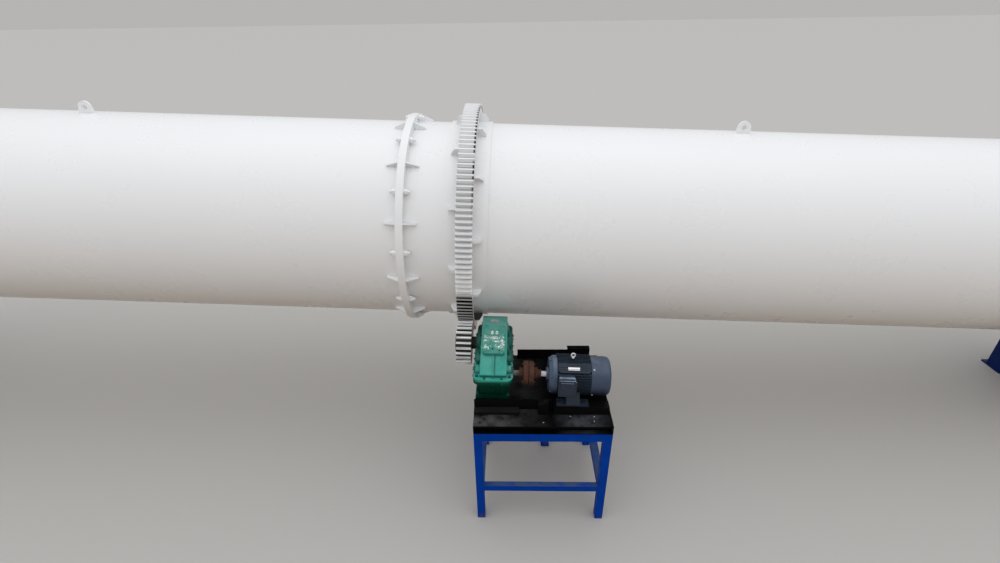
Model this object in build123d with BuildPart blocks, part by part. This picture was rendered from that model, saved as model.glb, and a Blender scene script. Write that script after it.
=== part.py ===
# Rotary drum dryer: a long steel drum in two bolted halves, turned by a girth gear on an open drive table
from build123d import *
from math import asin, atan, cos, degrees, pi, radians, sin, sqrt, tan
import os

# Drum, in millimetres
fall = 0.04
drum_height = 1800.0
shell_radius = 750.0
shell_wall = 12.0
half_length = 8000.0

# End rings that close the shell down to its feed and discharge openings
end_plate = 20.0
end_ring_proud = 30.0
end_dam_depth = 110.0
end_neck_length = 100.0
end_neck_wall = 14.0

# Lifting flights, angle bars along the inside of the shell
flight_count = 10
flight_plate = 8.0
flight_depth = 108.0
flight_lip = 60.0
flight_end_distance = 260.0
flight_middle_distance = 45.0

# Bolted flange in the middle
flange_proud = 58.0
flange_thickness = 25.0
flange_rib_count = 12
flange_rib_reach = 85.0
flange_rib_tip = 16.0
flange_rib_plate = 12.0
flange_rib_inset = 4.0
flange_rib_angle = 11.0
weld_gap = 0.5

# Girth gear and pinion
module = 12.0
gear_standoff = 126.0
pinion_teeth = 25
pressure_angle = 20.0
tooth_thinning = 0.45
gear_station = 431.5
gear_face = 110.0
gear_rim_depth = 41.0
pinion_face = 106.0

# Band and brackets that carry the girth gear
band_thickness = 12.0
band_width = 300.0
bracket_count = 12
bracket_plate = 22.0
bracket_reach = 58.0
bracket_inner_reach = 30.0
bracket_toe = 20.0
bracket_slope = 24.0
bracket_gap = 0.1
left_bracket_angle = 3.0
right_bracket_angle = 18.0

# Riding rings and their seats
ring_station = 5859.0
ring_thickness = 55.0
ring_width = 130.0
seat_thickness = 25.0
seat_width = 190.0

# Lifting lugs
lug_station = 2422.0
lug_width = 112.0
lug_plate = 18.0
lug_hole_height = 40.0
lug_eye_radius = 46.0
lug_hole_radius = 19.0

# Support rollers and their bearings
roller_radius = 160.0
roller_width = 160.0
roller_angle = 30.0
roller_gap = 0.4
roller_shaft_radius = 40.0
bearing_length = 70.0
bearing_width = 190.0
bearing_height = 110.0
bearing_foot = 30.0
bearing_eye_radius = 63.0
bearing_gap = 15.0
shaft_clearance = 0.3
shaft_end = 12.0

# Thrust rollers at the lower riding ring
thrust_radius = 70.0
thrust_height = 50.0
thrust_gap = 5.0
thrust_drop = 5.0
thrust_stem_radius = 28.0
thrust_base_side = 110.0
thrust_base_height = 40.0

# Support frames
bed_thickness = 20.0
bed_length = 1240.0
roller_clearance = 15.0
pedestal_width = 190.0
support_beam_depth = 75.0
support_beam_wall = 8.0
post_width = 168.0
post_depth = 360.0
post_flange = 16.0
post_web = 12.0
post_spread = 321.0
base_plate = 16.0
base_plate_width = 211.0
base_plate_depth = 372.0
base_plate_spread = 351.0
anchor_radius = 11.0
anchor_spacing_x = 160.0
anchor_spacing_y = 110.0
tie_bottom = 165.0
tie_depth = 120.0
tie_width = 150.0
tie_wall = 8.0

# Drive table
table_left = 494.0
table_length = 911.0
table_depth = 748.0
table_height = 850.0
table_overhang = 274.73
leg_side = 55.0
leg_wall = 4.0
top_beam_depth = 66.0
low_rail_top = 345.0
low_rail_height = 49.0
low_rail_width = 40.0
middle_leg_x = 1027.0
foot_plate_side = 69.0
foot_plate_thickness = 8.0

# Black platform on the table
platform_height = 68.0
platform_plate_thickness = 8.0
platform_channel_depth = 40.0
platform_channel_wall = 6.0

# Beams that carry the gearbox and the motor
motor_packing_thickness = 6.0
front_rail_width = 70.0
front_rail_length = 366.0
front_rail_end = 13.0
front_rail_setback = 109.0
beam_height = 85.0
beam_width = 43.0
beam_thickness = 6.0
front_beam_setback = 158.0
front_beam_length = 526.0
rear_beam_start = 790.0
rear_beam_length = 548.0
rear_cap_length = 168.0
rear_cap_thickness = 8.0
rest_width = 52.0
strip_length = 301.0
strip_height = 20.0
stop_block_start = 922.0
stop_block_length = 69.0
stop_block_height = 88.0

# Gearbox
gearbox_station = 648.0
gearbox_centres = 327.0
gearbox_middle_centres = 187.0
gearbox_axis_height = 200.0
cover_width = 176.0
cover_rear_radius = 198.0
cover_middle_radius = 150.0
cover_nose = 80.0
cover_nose_height = 40.0
split_width = 262.0
split_thickness = 20.0
split_margin = 16.0
split_front_margin = 32.0
split_corner = 45.0
base_width = 176.0
base_front_margin = 74.0
base_rear_margin = 95.0
base_taper = 24.0
base_rib = 14.0
base_rib_margin = 14.0
nose_rib = 8.0
nose_rib_proud = 9.0
foot_thickness = 20.0
foot_width = 232.0
output_boss_radius = 96.0
middle_boss_radius = 66.0
input_boss_radius = 50.0
output_cap_radius = 74.0
middle_cap_radius = 54.0
input_cap_radius = 40.0
cap_thickness = 12.0
cap_clearance = 1.0
shoulder_margin = 5.0
output_shoulder_height = 160.0
output_shoulder_thickness = 80.0
middle_shoulder_height = 122.0
middle_shoulder_thickness = 50.0
inspection_length = 170.0
inspection_width = 148.0
inspection_thickness = 12.0
inspection_corner = 12.0
gearbox_seat_thickness = 22.25

# Shafts and coupling
output_shaft_radius = 45.0
pinion_plate_radius = 66.0
pinion_plate_thickness = 12.0
input_shaft_radius = 19.0
motor_shaft_radius = 19.0
shaft_engagement = 30.0
coupling_radius = 84.0
coupling_gap = 4.0
coupling_disc = 32.0
coupling_left_hub_radius = 38.0
coupling_left_hub = 27.0
coupling_right_hub_radius = 44.0
coupling_right_hub = 26.0
coupling_nose_radius = 29.0
coupling_nose = 25.0
coupling_station = 884.0

# Motor
motor_front = 1004.0
motor_axis_height = 132.0
shield_length = 64.0
shield_radius = 128.0
shield_rim = 26.0
shield_face_radius = 104.0
shield_face_start = 14.0
shield_boss_radius = 46.0
motor_body_length = 222.0
motor_core_radius = 110.0
motor_fin_radius = 134.0
motor_fin_rise = 8.0
motor_fin_thickness = 4.0
motor_fin_pitch = 14.0
motor_fin_count = 13
fan_cover_length = 132.0
fan_cover_radius = 131.0
fan_cover_round = 26.0
foot_spread = 162.0
motor_foot_thickness = 14.0
motor_foot_length = 210.0
motor_foot_width = 60.0
foot_web_length = 88.0
foot_web_height = 70.0
foot_web_inner = 62.0
ledge_angle = 57.0
ledge_width = 65.0
ledge_length = 212.0
ledge_reach = 138.0
ledge_corner = 14.0
ledge_sink = 30.0
grille_slot_count = 24
grille_slot_width = 6.0
grille_inner_radius = 38.0
grille_outer_radius = 98.0
grille_depth = 5.0
box_width = 118.0
box_height = 90.0
box_reach = 195.0
box_rise = 48.0
box_corner = 12.0
box_lip = 3.0
box_lid = 12.0
box_panel_inset = 13.0
box_panel_proud = 3.0
box_pad_reach = 136.0
box_pad_width = 100.0
gland_offset = 73.0
gland_nut_radius = 17.0
gland_nut_height = 12.0
gland_radius = 12.0
gland_length = 14.0

# Packing below the motor's feet
packing_overhang = 20.0
packing_width = 56.0

# Lines and planes of the leaning drum
lean = atan(fall)
lean_cos = cos(lean)
lean_sin = sin(lean)
along_axis = Vector(lean_cos, 0, -lean_sin)
upward = Vector(lean_sin, 0, lean_cos)
sideways = Vector(0, 1, 0)

# Radii that follow from the shell
end_opening_radius = shell_radius - end_dam_depth
flange_radius = shell_radius + flange_proud
ring_radius = shell_radius + seat_thickness + ring_thickness
gear_teeth = round(2 * (shell_radius + gear_standoff) / module)
gear_pitch_radius = module * gear_teeth / 2
pinion_pitch_radius = module * pinion_teeth / 2
gear_tip_radius = gear_pitch_radius + module
gear_root_radius = gear_pitch_radius - 1.25 * module

# The pinion stands as high as the table and the gearbox put it, and meshes where it meets the gear
platform_top = table_height + platform_height
gearbox_seat_drop = drum_height - gearbox_station * lean_sin - platform_top - gearbox_seat_thickness
pinion_up = gearbox_axis_height - gearbox_seat_drop / lean_cos
pinion_distance = gear_pitch_radius + pinion_pitch_radius
mesh_angle = 180 + degrees(asin(-pinion_up / pinion_distance))
pinion_side = pinion_distance * cos(radians(mesh_angle))
input_side = pinion_side - gearbox_centres
table_reach = table_overhang - input_side
drum_y = (table_reach - gear_tip_radius) / 2


# A point given along the drum, to its side and above its axis
def drum_point(along, side=0.0, up=0.0):
    return Vector(0, drum_y, drum_height) + along_axis * along + sideways * side + upward * up


# A plane that cuts across the drum, with X to the back and Y up
def across(along, side=0.0, up=0.0):
    return Plane(origin=drum_point(along, side, up), x_dir=sideways, z_dir=along_axis)


# A plane that holds the drum axis, with X along the drum and Y out to the rim
def radial(along, angle):
    outward = sideways * cos(radians(angle)) + upward * sin(radians(angle))
    return Plane(origin=drum_point(along), x_dir=along_axis, z_dir=along_axis.cross(outward))


# A plane seen from above, with X along the drum and Y to the back
def laid(along, side, up):
    return Plane(origin=drum_point(along, side, up), x_dir=along_axis, z_dir=upward)


# An upright plane seen from the drive's side, with X along the drum and Y up
def lengthwise(along, side, up):
    return Plane(origin=drum_point(along, side, up), x_dir=along_axis, z_dir=-sideways)


# A level plane seen from above
def level(x, y, z):
    return Plane(origin=(x, y, z), x_dir=(1, 0, 0), z_dir=(0, 0, 1))


# An upright plane seen from the front, whose extrusions grow towards the back
def upright(y):
    return Plane(origin=(0, y, 0), x_dir=(1, 0, 0), z_dir=(0, -1, 0))


os.makedirs("parts", exist_ok=True)


def save(sub_part, name):
    sub_part.part.label = name
    export_step(sub_part.part, "parts/" + name + ".step")


# The outline of a spur gear with its first tooth centred on the angle start
def gear_points(teeth, start, flank_steps):
    pitch_radius = module * teeth / 2
    tip_radius = pitch_radius + module
    root_radius = pitch_radius - 1.25 * module
    base_radius = pitch_radius * cos(radians(pressure_angle))
    turn = tan(radians(pressure_angle)) - radians(pressure_angle)
    half_tooth = (pi * module / 2 - tooth_thinning) / 2 / pitch_radius + turn
    lowest = max(root_radius, base_radius)
    flank = []
    for step in flank_steps:
        radius = lowest + (tip_radius - lowest) * step
        angle = sqrt((radius / base_radius) ** 2 - 1)
        flank.append((radius, half_tooth - (angle - atan(angle))))
    if root_radius < base_radius:
        flank.insert(0, (root_radius, flank[0][1]))
    points = []
    for tooth in range(teeth):
        centre = radians(start) + 2 * pi * tooth / teeth
        for radius, half in flank:
            points.append((radius * cos(centre - half), radius * sin(centre - half)))
        for radius, half in reversed(flank):
            points.append((radius * cos(centre + half), radius * sin(centre + half)))
    return points


# Shell halves, each from its end plate to the middle flange
for side_name, start in (("left", end_plate - half_length), ("right", 0.0)):
    with BuildPart() as shell:
        with BuildSketch(across(start)):
            Circle(shell_radius)
            Circle(shell_radius - shell_wall, mode=Mode.SUBTRACT)
        extrude(amount=half_length - end_plate)
    save(shell, "shell_" + side_name)

# End rings, an annular plate with a short neck that reaches into the shell
for side_name, direction in (("left", -1), ("right", 1)):
    with BuildPart() as end_ring:
        with BuildSketch(radial(0, 90)):
            with BuildLine():
                outer = direction * half_length
                plate = outer - direction * end_plate
                neck = outer - direction * end_neck_length
                Polyline(
                    (outer, end_opening_radius),
                    (outer, shell_radius + end_ring_proud),
                    (plate, shell_radius + end_ring_proud),
                    (plate, end_opening_radius + end_neck_wall),
                    (neck, end_opening_radius + end_neck_wall),
                    (neck, end_opening_radius),
                    close=True,
                )
            make_face()
        revolve(axis=Axis(drum_point(0), along_axis))
    save(end_ring, "end_ring_" + side_name)

# Lifting flights, from behind the end ring's neck to the middle
flight_outer = shell_radius - shell_wall - weld_gap
flight_length = half_length - flight_end_distance - flight_middle_distance
for side_name, start in (("left", flight_end_distance - half_length), ("right", flight_middle_distance)):
    with BuildPart() as flights:
        with BuildSketch(across(start)):
            with PolarLocations(flight_outer - flight_depth, flight_count):
                Rectangle(flight_depth, flight_plate, align=(Align.MIN, Align.MIN))
                Rectangle(flight_plate, flight_lip, align=(Align.MIN, Align.MIN))
        extrude(amount=flight_length)
    save(flights, "flights_" + side_name)

# Flanges with their ribs, one on each half
for side_name, direction in (("left", -1), ("right", 1)):
    with BuildPart() as flange:
        with BuildSketch(across(0)):
            Circle(flange_radius)
            Circle(shell_radius, mode=Mode.SUBTRACT)
        extrude(amount=direction * flange_thickness)
        for count in range(flange_rib_count):
            with BuildSketch(radial(0, flange_rib_angle + count * 360 / flange_rib_count)):
                with BuildLine():
                    near = direction * flange_thickness
                    far = near + direction * flange_rib_reach
                    Polyline(
                        (near, shell_radius + weld_gap),
                        (far, shell_radius + weld_gap),
                        (far, shell_radius + flange_rib_tip),
                        (near, flange_radius - flange_rib_inset),
                        close=True,
                    )
                make_face()
            extrude(amount=flange_rib_plate / 2, both=True)
    save(flange, "flange_" + side_name)

# Band on the shell below the girth gear
with BuildPart() as gear_band:
    with BuildSketch(across(gear_station - band_width / 2)):
        Circle(shell_radius + band_thickness)
        Circle(shell_radius, mode=Mode.SUBTRACT)
    extrude(amount=band_width)
save(gear_band, "gear_band")

# Girth gear
rim_inner_radius = gear_root_radius - gear_rim_depth
with BuildPart() as girth_gear:
    with BuildSketch(across(gear_station - gear_face / 2)):
        with BuildLine():
            Polyline(*gear_points(gear_teeth, mesh_angle, (0.0, 1.0)), close=True)
        make_face()
        Circle(rim_inner_radius, mode=Mode.SUBTRACT)
    extrude(amount=gear_face)
save(girth_gear, "girth_gear")

# Brackets that hold the gear off the band, staggered on its two sides
bracket_foot = shell_radius + band_thickness
for side_name, direction, first in (("left", -1, left_bracket_angle), ("right", 1, right_bracket_angle)):
    with BuildPart() as brackets:
        for count in range(bracket_count):
            with BuildSketch(radial(gear_station, first + count * 360 / bracket_count)):
                with BuildLine():
                    inner = -direction * bracket_inner_reach
                    outer = direction * (gear_face / 2 + bracket_reach)
                    Polyline(
                        (inner, bracket_foot),
                        (outer, bracket_foot),
                        (outer, bracket_foot + bracket_toe),
                        (outer - direction * bracket_slope, rim_inner_radius - bracket_gap),
                        (inner, rim_inner_radius - bracket_gap),
                        close=True,
                    )
                make_face()
            extrude(amount=bracket_plate / 2, both=True)
    save(brackets, "gear_brackets_" + side_name)

# Riding rings and the seats below them
for side_name, station in (("left", -ring_station), ("right", ring_station)):
    with BuildPart() as ring_seat:
        with BuildSketch(across(station - seat_width / 2)):
            Circle(shell_radius + seat_thickness)
            Circle(shell_radius, mode=Mode.SUBTRACT)
        extrude(amount=seat_width)
    save(ring_seat, "ring_seat_" + side_name)
    with BuildPart() as riding_ring:
        with BuildSketch(across(station - ring_width / 2)):
            Circle(ring_radius)
            Circle(shell_radius + seat_thickness, mode=Mode.SUBTRACT)
        extrude(amount=ring_width)
    save(riding_ring, "riding_ring_" + side_name)

# Lifting lugs on top of the shell
with BuildPart() as lifting_lugs:
    for station in (-lug_station, lug_station):
        eye = shell_radius + lug_hole_height
        with BuildSketch(radial(station, 90)):
            with BuildLine():
                Line((-lug_eye_radius, eye), (-lug_width / 2, shell_radius))
                Line((-lug_width / 2, shell_radius), (lug_width / 2, shell_radius))
                Line((lug_width / 2, shell_radius), (lug_eye_radius, eye))
                ThreePointArc((lug_eye_radius, eye), (0, eye + lug_eye_radius), (-lug_eye_radius, eye))
            make_face()
            with Locations((0, eye)):
                Circle(lug_hole_radius, mode=Mode.SUBTRACT)
        extrude(amount=lug_plate / 2, both=True)
save(lifting_lugs, "lifting_lugs")

# Pinion with its hub, meshed with the girth gear at the mesh angle
pinion_start = mesh_angle - 180 + 180 / pinion_teeth
pinion_start_at = gear_station - pinion_face / 2
with BuildPart() as pinion:
    with BuildSketch(across(pinion_start_at, pinion_side, pinion_up)):
        with BuildLine():
            Polyline(*gear_points(pinion_teeth, pinion_start, (0.0, 0.5, 1.0)), close=True)
        make_face()
        Circle(output_shaft_radius, mode=Mode.SUBTRACT)
    extrude(amount=pinion_face)
    with BuildSketch(across(pinion_start_at - pinion_plate_thickness, pinion_side, pinion_up)):
        Circle(pinion_plate_radius)
        Circle(output_shaft_radius, mode=Mode.SUBTRACT)
    extrude(amount=pinion_plate_thickness)
save(pinion, "pinion")

# Output shaft, from the pinion's outer end into the gearbox
gearbox_left = gearbox_station - split_width / 2
gearbox_right = gearbox_station + split_width / 2
with BuildPart() as output_shaft:
    with BuildSketch(across(pinion_start_at - pinion_plate_thickness, pinion_side, pinion_up)):
        Circle(output_shaft_radius)
    extrude(amount=gearbox_left + shaft_engagement - pinion_start_at + pinion_plate_thickness)
save(output_shaft, "output_shaft")

# Input shaft and the two coupling halves
disc_left = coupling_station - coupling_gap / 2 - coupling_disc
disc_right = coupling_station + coupling_gap / 2 + coupling_disc
with BuildPart() as input_shaft:
    with BuildSketch(across(gearbox_right - shaft_engagement, input_side, pinion_up)):
        Circle(input_shaft_radius)
    extrude(amount=coupling_station - coupling_gap / 2 - gearbox_right + shaft_engagement)
save(input_shaft, "input_shaft")
with BuildPart() as motor_shaft:
    with BuildSketch(across(coupling_station + coupling_gap / 2, input_side, pinion_up)):
        Circle(motor_shaft_radius)
    extrude(amount=motor_front + shaft_engagement - coupling_station - coupling_gap / 2)
save(motor_shaft, "motor_shaft")
with BuildPart() as gearbox_half:
    with BuildSketch(across(disc_left, input_side, pinion_up)):
        Circle(coupling_radius)
    extrude(amount=coupling_disc)
    with BuildSketch(across(disc_left, input_side, pinion_up)):
        Circle(coupling_left_hub_radius)
    extrude(amount=-coupling_left_hub)
    with BuildSketch(across(disc_left - coupling_left_hub, input_side, pinion_up)):
        Circle(input_shaft_radius)
    extrude(amount=coupling_left_hub + coupling_disc, mode=Mode.SUBTRACT)
save(gearbox_half, "coupling_gearbox_half")
with BuildPart() as motor_half:
    with BuildSketch(across(disc_right, input_side, pinion_up)):
        Circle(coupling_radius)
    extrude(amount=-coupling_disc)
    with BuildSketch(across(disc_right, input_side, pinion_up)):
        Circle(coupling_right_hub_radius)
    extrude(amount=coupling_right_hub)
    with BuildSketch(across(disc_right + coupling_right_hub, input_side, pinion_up)):
        Circle(coupling_nose_radius)
    extrude(amount=coupling_nose)
    with BuildSketch(across(disc_right - coupling_disc, input_side, pinion_up)):
        Circle(motor_shaft_radius)
    extrude(amount=coupling_disc + coupling_right_hub + coupling_nose, mode=Mode.SUBTRACT)
save(motor_half, "coupling_motor_half")

# Gearbox cover, drawn from the side and as long as it is wide
output_side = pinion_side
middle_side = pinion_side - gearbox_middle_centres
nose_side = input_side - cover_nose
split_rear = output_side + cover_rear_radius + split_margin
split_front = nose_side - split_front_margin
slope_angle = degrees(asin((cover_rear_radius - cover_middle_radius) / gearbox_middle_centres))
boss_start = gearbox_left + cap_thickness
boss_length = split_width - 2 * cap_thickness
cap_starts = (gearbox_left, gearbox_right - cap_thickness)
bosses = ((output_side, output_boss_radius), (middle_side, middle_boss_radius), (input_side, input_boss_radius))
caps = ((output_side, output_cap_radius), (middle_side, middle_cap_radius), (input_side, input_cap_radius))
with BuildPart() as gearbox_cover:
    with BuildSketch(across(gearbox_station - cover_width / 2, 0, pinion_up)):
        with BuildLine():
            CenterArc((output_side, 0), cover_rear_radius, 0, 180)
            CenterArc((middle_side, 0), cover_middle_radius, 90, 70)
            Line((nose_side, 0), (nose_side, cover_nose_height))
        make_hull()
    extrude(amount=cover_width)
    with BuildSketch(across(gearbox_station - nose_rib / 2, 0, pinion_up)):
        rib_side = nose_side - nose_rib_proud
        rib_radius = cover_middle_radius + nose_rib_proud
        with BuildLine():
            CenterArc((middle_side, 0), rib_radius, 90 + slope_angle, 70 - slope_angle)
            Line((rib_side, 0), (rib_side, cover_nose_height))
        make_hull()
    extrude(amount=nose_rib)
    with BuildSketch(laid(gearbox_station, (split_rear + split_front) / 2, pinion_up)):
        RectangleRounded(split_width, split_rear - split_front, split_corner)
    extrude(amount=split_thickness)
    for side, radius in bosses:
        with BuildSketch(across(boss_start, side, pinion_up)):
            with BuildLine():
                CenterArc((0, 0), radius, 0, 180)
                Line((-radius, 0), (radius, 0))
            make_face()
        extrude(amount=boss_length)
    for side, height, thickness in (
        (output_side, output_shoulder_height, output_shoulder_thickness),
        (middle_side, middle_shoulder_height, middle_shoulder_thickness),
    ):
        with BuildSketch(lengthwise(gearbox_station, side + thickness / 2, pinion_up)):
            with BuildLine():
                top = cover_width / 2 + shoulder_margin
                foot = boss_length / 2
                Polyline(
                    (-foot, split_thickness),
                    (foot, split_thickness),
                    (top, height),
                    (-top, height),
                    close=True,
                )
            make_face()
        extrude(amount=thickness)
    for start in cap_starts:
        for side, radius in caps:
            with BuildSketch(across(start, side, pinion_up)):
                Circle(radius + cap_clearance)
            extrude(amount=cap_thickness, mode=Mode.SUBTRACT)
    with BuildSketch(across(boss_start, output_side, pinion_up)):
        Circle(output_shaft_radius + shaft_clearance)
    extrude(amount=shaft_engagement - cap_thickness + shaft_clearance, mode=Mode.SUBTRACT)
    with BuildSketch(across(boss_start + boss_length, input_side, pinion_up)):
        Circle(input_shaft_radius + shaft_clearance)
    extrude(amount=cap_thickness - shaft_engagement - shaft_clearance, mode=Mode.SUBTRACT)
save(gearbox_cover, "gearbox_cover")

# Gearbox base with its feet and the lower halves of the bearing bosses
base_front = split_front + base_front_margin
base_rear = split_rear - base_rear_margin
with BuildPart() as gearbox_base:
    with BuildSketch(laid(gearbox_station, (split_rear + split_front) / 2, pinion_up)):
        RectangleRounded(split_width, split_rear - split_front, split_corner)
    extrude(amount=-split_thickness)
    base_top = -split_thickness
    with BuildSketch(across(gearbox_station - base_width / 2, 0, pinion_up)):
        with BuildLine():
            Polyline(
                (base_front, base_top),
                (base_rear, base_top),
                (base_rear - base_taper, -gearbox_axis_height),
                (base_front + base_taper, -gearbox_axis_height),
                close=True,
            )
        make_face()
    extrude(amount=base_width)
    with BuildSketch(across(gearbox_station - nose_rib / 2, 0, pinion_up)):
        with BuildLine():
            Polyline(
                (base_front - nose_rib_proud, base_top),
                (base_rear, base_top),
                (base_rear - base_taper, foot_thickness - gearbox_axis_height),
                (base_front + base_taper - nose_rib_proud, foot_thickness - gearbox_axis_height),
                close=True,
            )
        make_face()
    extrude(amount=nose_rib)
    for side in (output_side, middle_side, input_side):
        with BuildSketch(laid(gearbox_station, side, pinion_up - gearbox_axis_height)):
            Rectangle(foot_width - 2 * base_rib_margin, base_rib)
        extrude(amount=gearbox_axis_height - split_thickness)
    with BuildSketch(laid(gearbox_station, (base_front + base_rear) / 2, pinion_up - gearbox_axis_height)):
        Rectangle(foot_width, base_rear - base_front)
    extrude(amount=foot_thickness)
    for side, radius in bosses:
        with BuildSketch(across(boss_start, side, pinion_up)):
            with BuildLine():
                CenterArc((0, 0), radius, 180, 180)
                Line((-radius, 0), (radius, 0))
            make_face()
        extrude(amount=boss_length)
    for start in cap_starts:
        for side, radius in caps:
            with BuildSketch(across(start, side, pinion_up)):
                Circle(radius + cap_clearance)
            extrude(amount=cap_thickness, mode=Mode.SUBTRACT)
    with BuildSketch(across(boss_start, output_side, pinion_up)):
        Circle(output_shaft_radius + shaft_clearance)
    extrude(amount=shaft_engagement - cap_thickness + shaft_clearance, mode=Mode.SUBTRACT)
    with BuildSketch(across(boss_start + boss_length, input_side, pinion_up)):
        Circle(input_shaft_radius + shaft_clearance)
    extrude(amount=cap_thickness - shaft_engagement - shaft_clearance, mode=Mode.SUBTRACT)
save(gearbox_base, "gearbox_base")

# Bearing caps on both sides of the gearbox, open where a shaft comes out
with BuildPart() as bearing_caps:
    for start, bores in zip(cap_starts, ((output_shaft_radius, 0, 0), (0, 0, input_shaft_radius))):
        for (side, radius), bore in zip(caps, bores):
            with BuildSketch(across(start, side, pinion_up)):
                Circle(radius)
                if bore:
                    Circle(bore + shaft_clearance, mode=Mode.SUBTRACT)
            extrude(amount=cap_thickness)
save(bearing_caps, "gearbox_bearing_caps")

# Inspection cover on the slope between the rear and the middle arcs
slope_side = (output_side + middle_side) / 2 - (cover_rear_radius + cover_middle_radius) / 2 * sin(radians(slope_angle))
slope_up = (cover_rear_radius + cover_middle_radius) / 2 * cos(radians(slope_angle))
slope_normal = sideways * -sin(radians(slope_angle)) + upward * cos(radians(slope_angle))
with BuildPart() as inspection_cover:
    slope_plane = Plane(
        origin=drum_point(gearbox_station, slope_side, pinion_up + slope_up),
        x_dir=along_axis,
        z_dir=slope_normal,
    )
    with BuildSketch(slope_plane):
        RectangleRounded(inspection_width, inspection_length, inspection_corner)
    extrude(amount=inspection_thickness)
save(inspection_cover, "gearbox_inspection_cover")

# Motor: end shield, finned body and fan cover on one axis
body_front = motor_front + shield_length
body_rear = body_front + motor_body_length
motor_axis = Axis(drum_point(0, input_side, pinion_up), along_axis)
with BuildPart() as end_shield:
    with BuildSketch(lengthwise(0, input_side, pinion_up)):
        with BuildLine():
            Polyline(
                (motor_front, 0),
                (motor_front, shield_boss_radius),
                (motor_front + shield_face_start, shield_boss_radius),
                (motor_front + shield_face_start, shield_face_radius),
                (body_front - shield_rim, shield_radius),
                (body_front, shield_radius),
                (body_front, 0),
                close=True,
            )
        make_face()
    revolve(axis=motor_axis)
    with BuildSketch(across(motor_front, input_side, pinion_up)):
        Circle(motor_shaft_radius + shaft_clearance)
    extrude(amount=shaft_engagement + shaft_clearance, mode=Mode.SUBTRACT)
save(end_shield, "motor_end_shield")

foot_start = body_front + (motor_body_length - motor_foot_length) / 2
box_along = body_front + box_width / 2
box_up = pinion_up + box_rise
with BuildPart() as motor_body:
    with BuildSketch(across(body_front, input_side, pinion_up)):
        with GridLocations(0, motor_fin_pitch, 1, motor_fin_count):
            Rectangle(2 * motor_fin_radius, motor_fin_thickness)
        with GridLocations(motor_fin_pitch, 0, motor_fin_count, 1):
            Rectangle(motor_fin_thickness, 2 * motor_fin_radius)
        Circle(motor_core_radius)
        with Locations((0, motor_fin_rise)):
            Circle(motor_fin_radius, mode=Mode.INTERSECT)
    extrude(amount=motor_body_length)
    for direction in (-1, 1):
        web_start = foot_start + (motor_foot_length - foot_web_length) / 2
        with BuildSketch(across(web_start, input_side, pinion_up)):
            with BuildLine():
                Polyline(
                    (direction * foot_web_inner, -foot_web_height),
                    (direction * foot_web_inner, -motor_axis_height),
                    (direction * foot_spread, -motor_axis_height),
                    (direction * foot_spread, motor_foot_thickness - motor_axis_height),
                    (direction * motor_core_radius * 0.95, -foot_web_height / 2),
                    close=True,
                )
            make_face()
        extrude(amount=foot_web_length)
        with BuildSketch(across(foot_start, input_side, pinion_up)):
            with Locations(
                (
                    direction * (foot_spread - motor_foot_width / 2),
                    motor_foot_thickness / 2 - motor_axis_height,
                )
            ):
                Rectangle(motor_foot_width, motor_foot_thickness)
        extrude(amount=motor_foot_length)
    with BuildSketch(lengthwise(box_along, input_side, box_up)):
        Rectangle(box_pad_width, box_height - 4 * box_lip)
    extrude(amount=box_pad_reach)
    ledge_out = ledge_reach * cos(radians(ledge_angle))
    ledge_rise = ledge_reach * sin(radians(ledge_angle))
    ledge_plane = Plane(
        origin=drum_point(body_front + motor_body_length / 2, input_side - ledge_out, pinion_up + ledge_rise),
        x_dir=along_axis,
        z_dir=upward * sin(radians(ledge_angle)) - sideways * cos(radians(ledge_angle)),
    )
    with BuildSketch(ledge_plane):
        with BuildLine():
            end = ledge_length / 2
            edge = ledge_width / 2
            Polyline(
                (-end, edge),
                (end, edge),
                (end, ledge_corner - edge),
                (end - ledge_corner, -edge),
                (ledge_corner - end, -edge),
                (-end, ledge_corner - edge),
                close=True,
            )
        make_face()
    extrude(amount=-ledge_sink)
save(motor_body, "motor_body")

# Fan cover with a rounded rear edge and air slots in its end
cover_end = body_rear + fan_cover_length
rounding = []
for turn in (0, 30, 60, 90):
    rounding.append(
        (
            cover_end - fan_cover_round * (1 - sin(radians(turn))),
            fan_cover_radius - fan_cover_round * (1 - cos(radians(turn))),
        )
    )
with BuildPart() as fan_cover:
    with BuildSketch(lengthwise(0, input_side, pinion_up)):
        with BuildLine():
            Polyline((body_rear, 0), (body_rear, fan_cover_radius), *rounding, (cover_end, 0), close=True)
        make_face()
    revolve(axis=motor_axis)
    with BuildSketch(across(cover_end, input_side, pinion_up)):
        with PolarLocations((grille_inner_radius + grille_outer_radius) / 2, grille_slot_count):
            Rectangle(grille_outer_radius - grille_inner_radius, grille_slot_width)
    extrude(amount=-grille_depth, mode=Mode.SUBTRACT)
save(fan_cover, "motor_fan_cover")

# Terminal box with its lid, and the gland on its underside
box_face = box_reach - box_panel_proud
with BuildPart() as terminal_box:
    with BuildSketch(lengthwise(box_along, input_side - box_pad_reach, box_up)):
        RectangleRounded(box_width - 2 * box_lip, box_height - 2 * box_lip, box_corner)
    extrude(amount=box_face - box_lid - box_pad_reach)
    with BuildSketch(lengthwise(box_along, input_side - box_face + box_lid, box_up)):
        RectangleRounded(box_width, box_height, box_corner)
    extrude(amount=box_lid)
    with BuildSketch(lengthwise(box_along, input_side - box_face, box_up)):
        RectangleRounded(box_width - 2 * box_panel_inset, box_height - 2 * box_panel_inset, box_corner / 2)
    extrude(amount=box_panel_proud)
    gland_along = body_front + gland_offset
    gland_side = input_side - (box_pad_reach + box_face - box_lid) / 2
    gland_top = box_up - box_height / 2 + box_lip
    with BuildSketch(laid(gland_along, gland_side, gland_top)):
        RegularPolygon(gland_nut_radius, 6)
    extrude(amount=-gland_nut_height)
    with BuildSketch(laid(gland_along, gland_side, gland_top - gland_nut_height)):
        Circle(gland_radius)
    extrude(amount=-gland_length)
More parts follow.
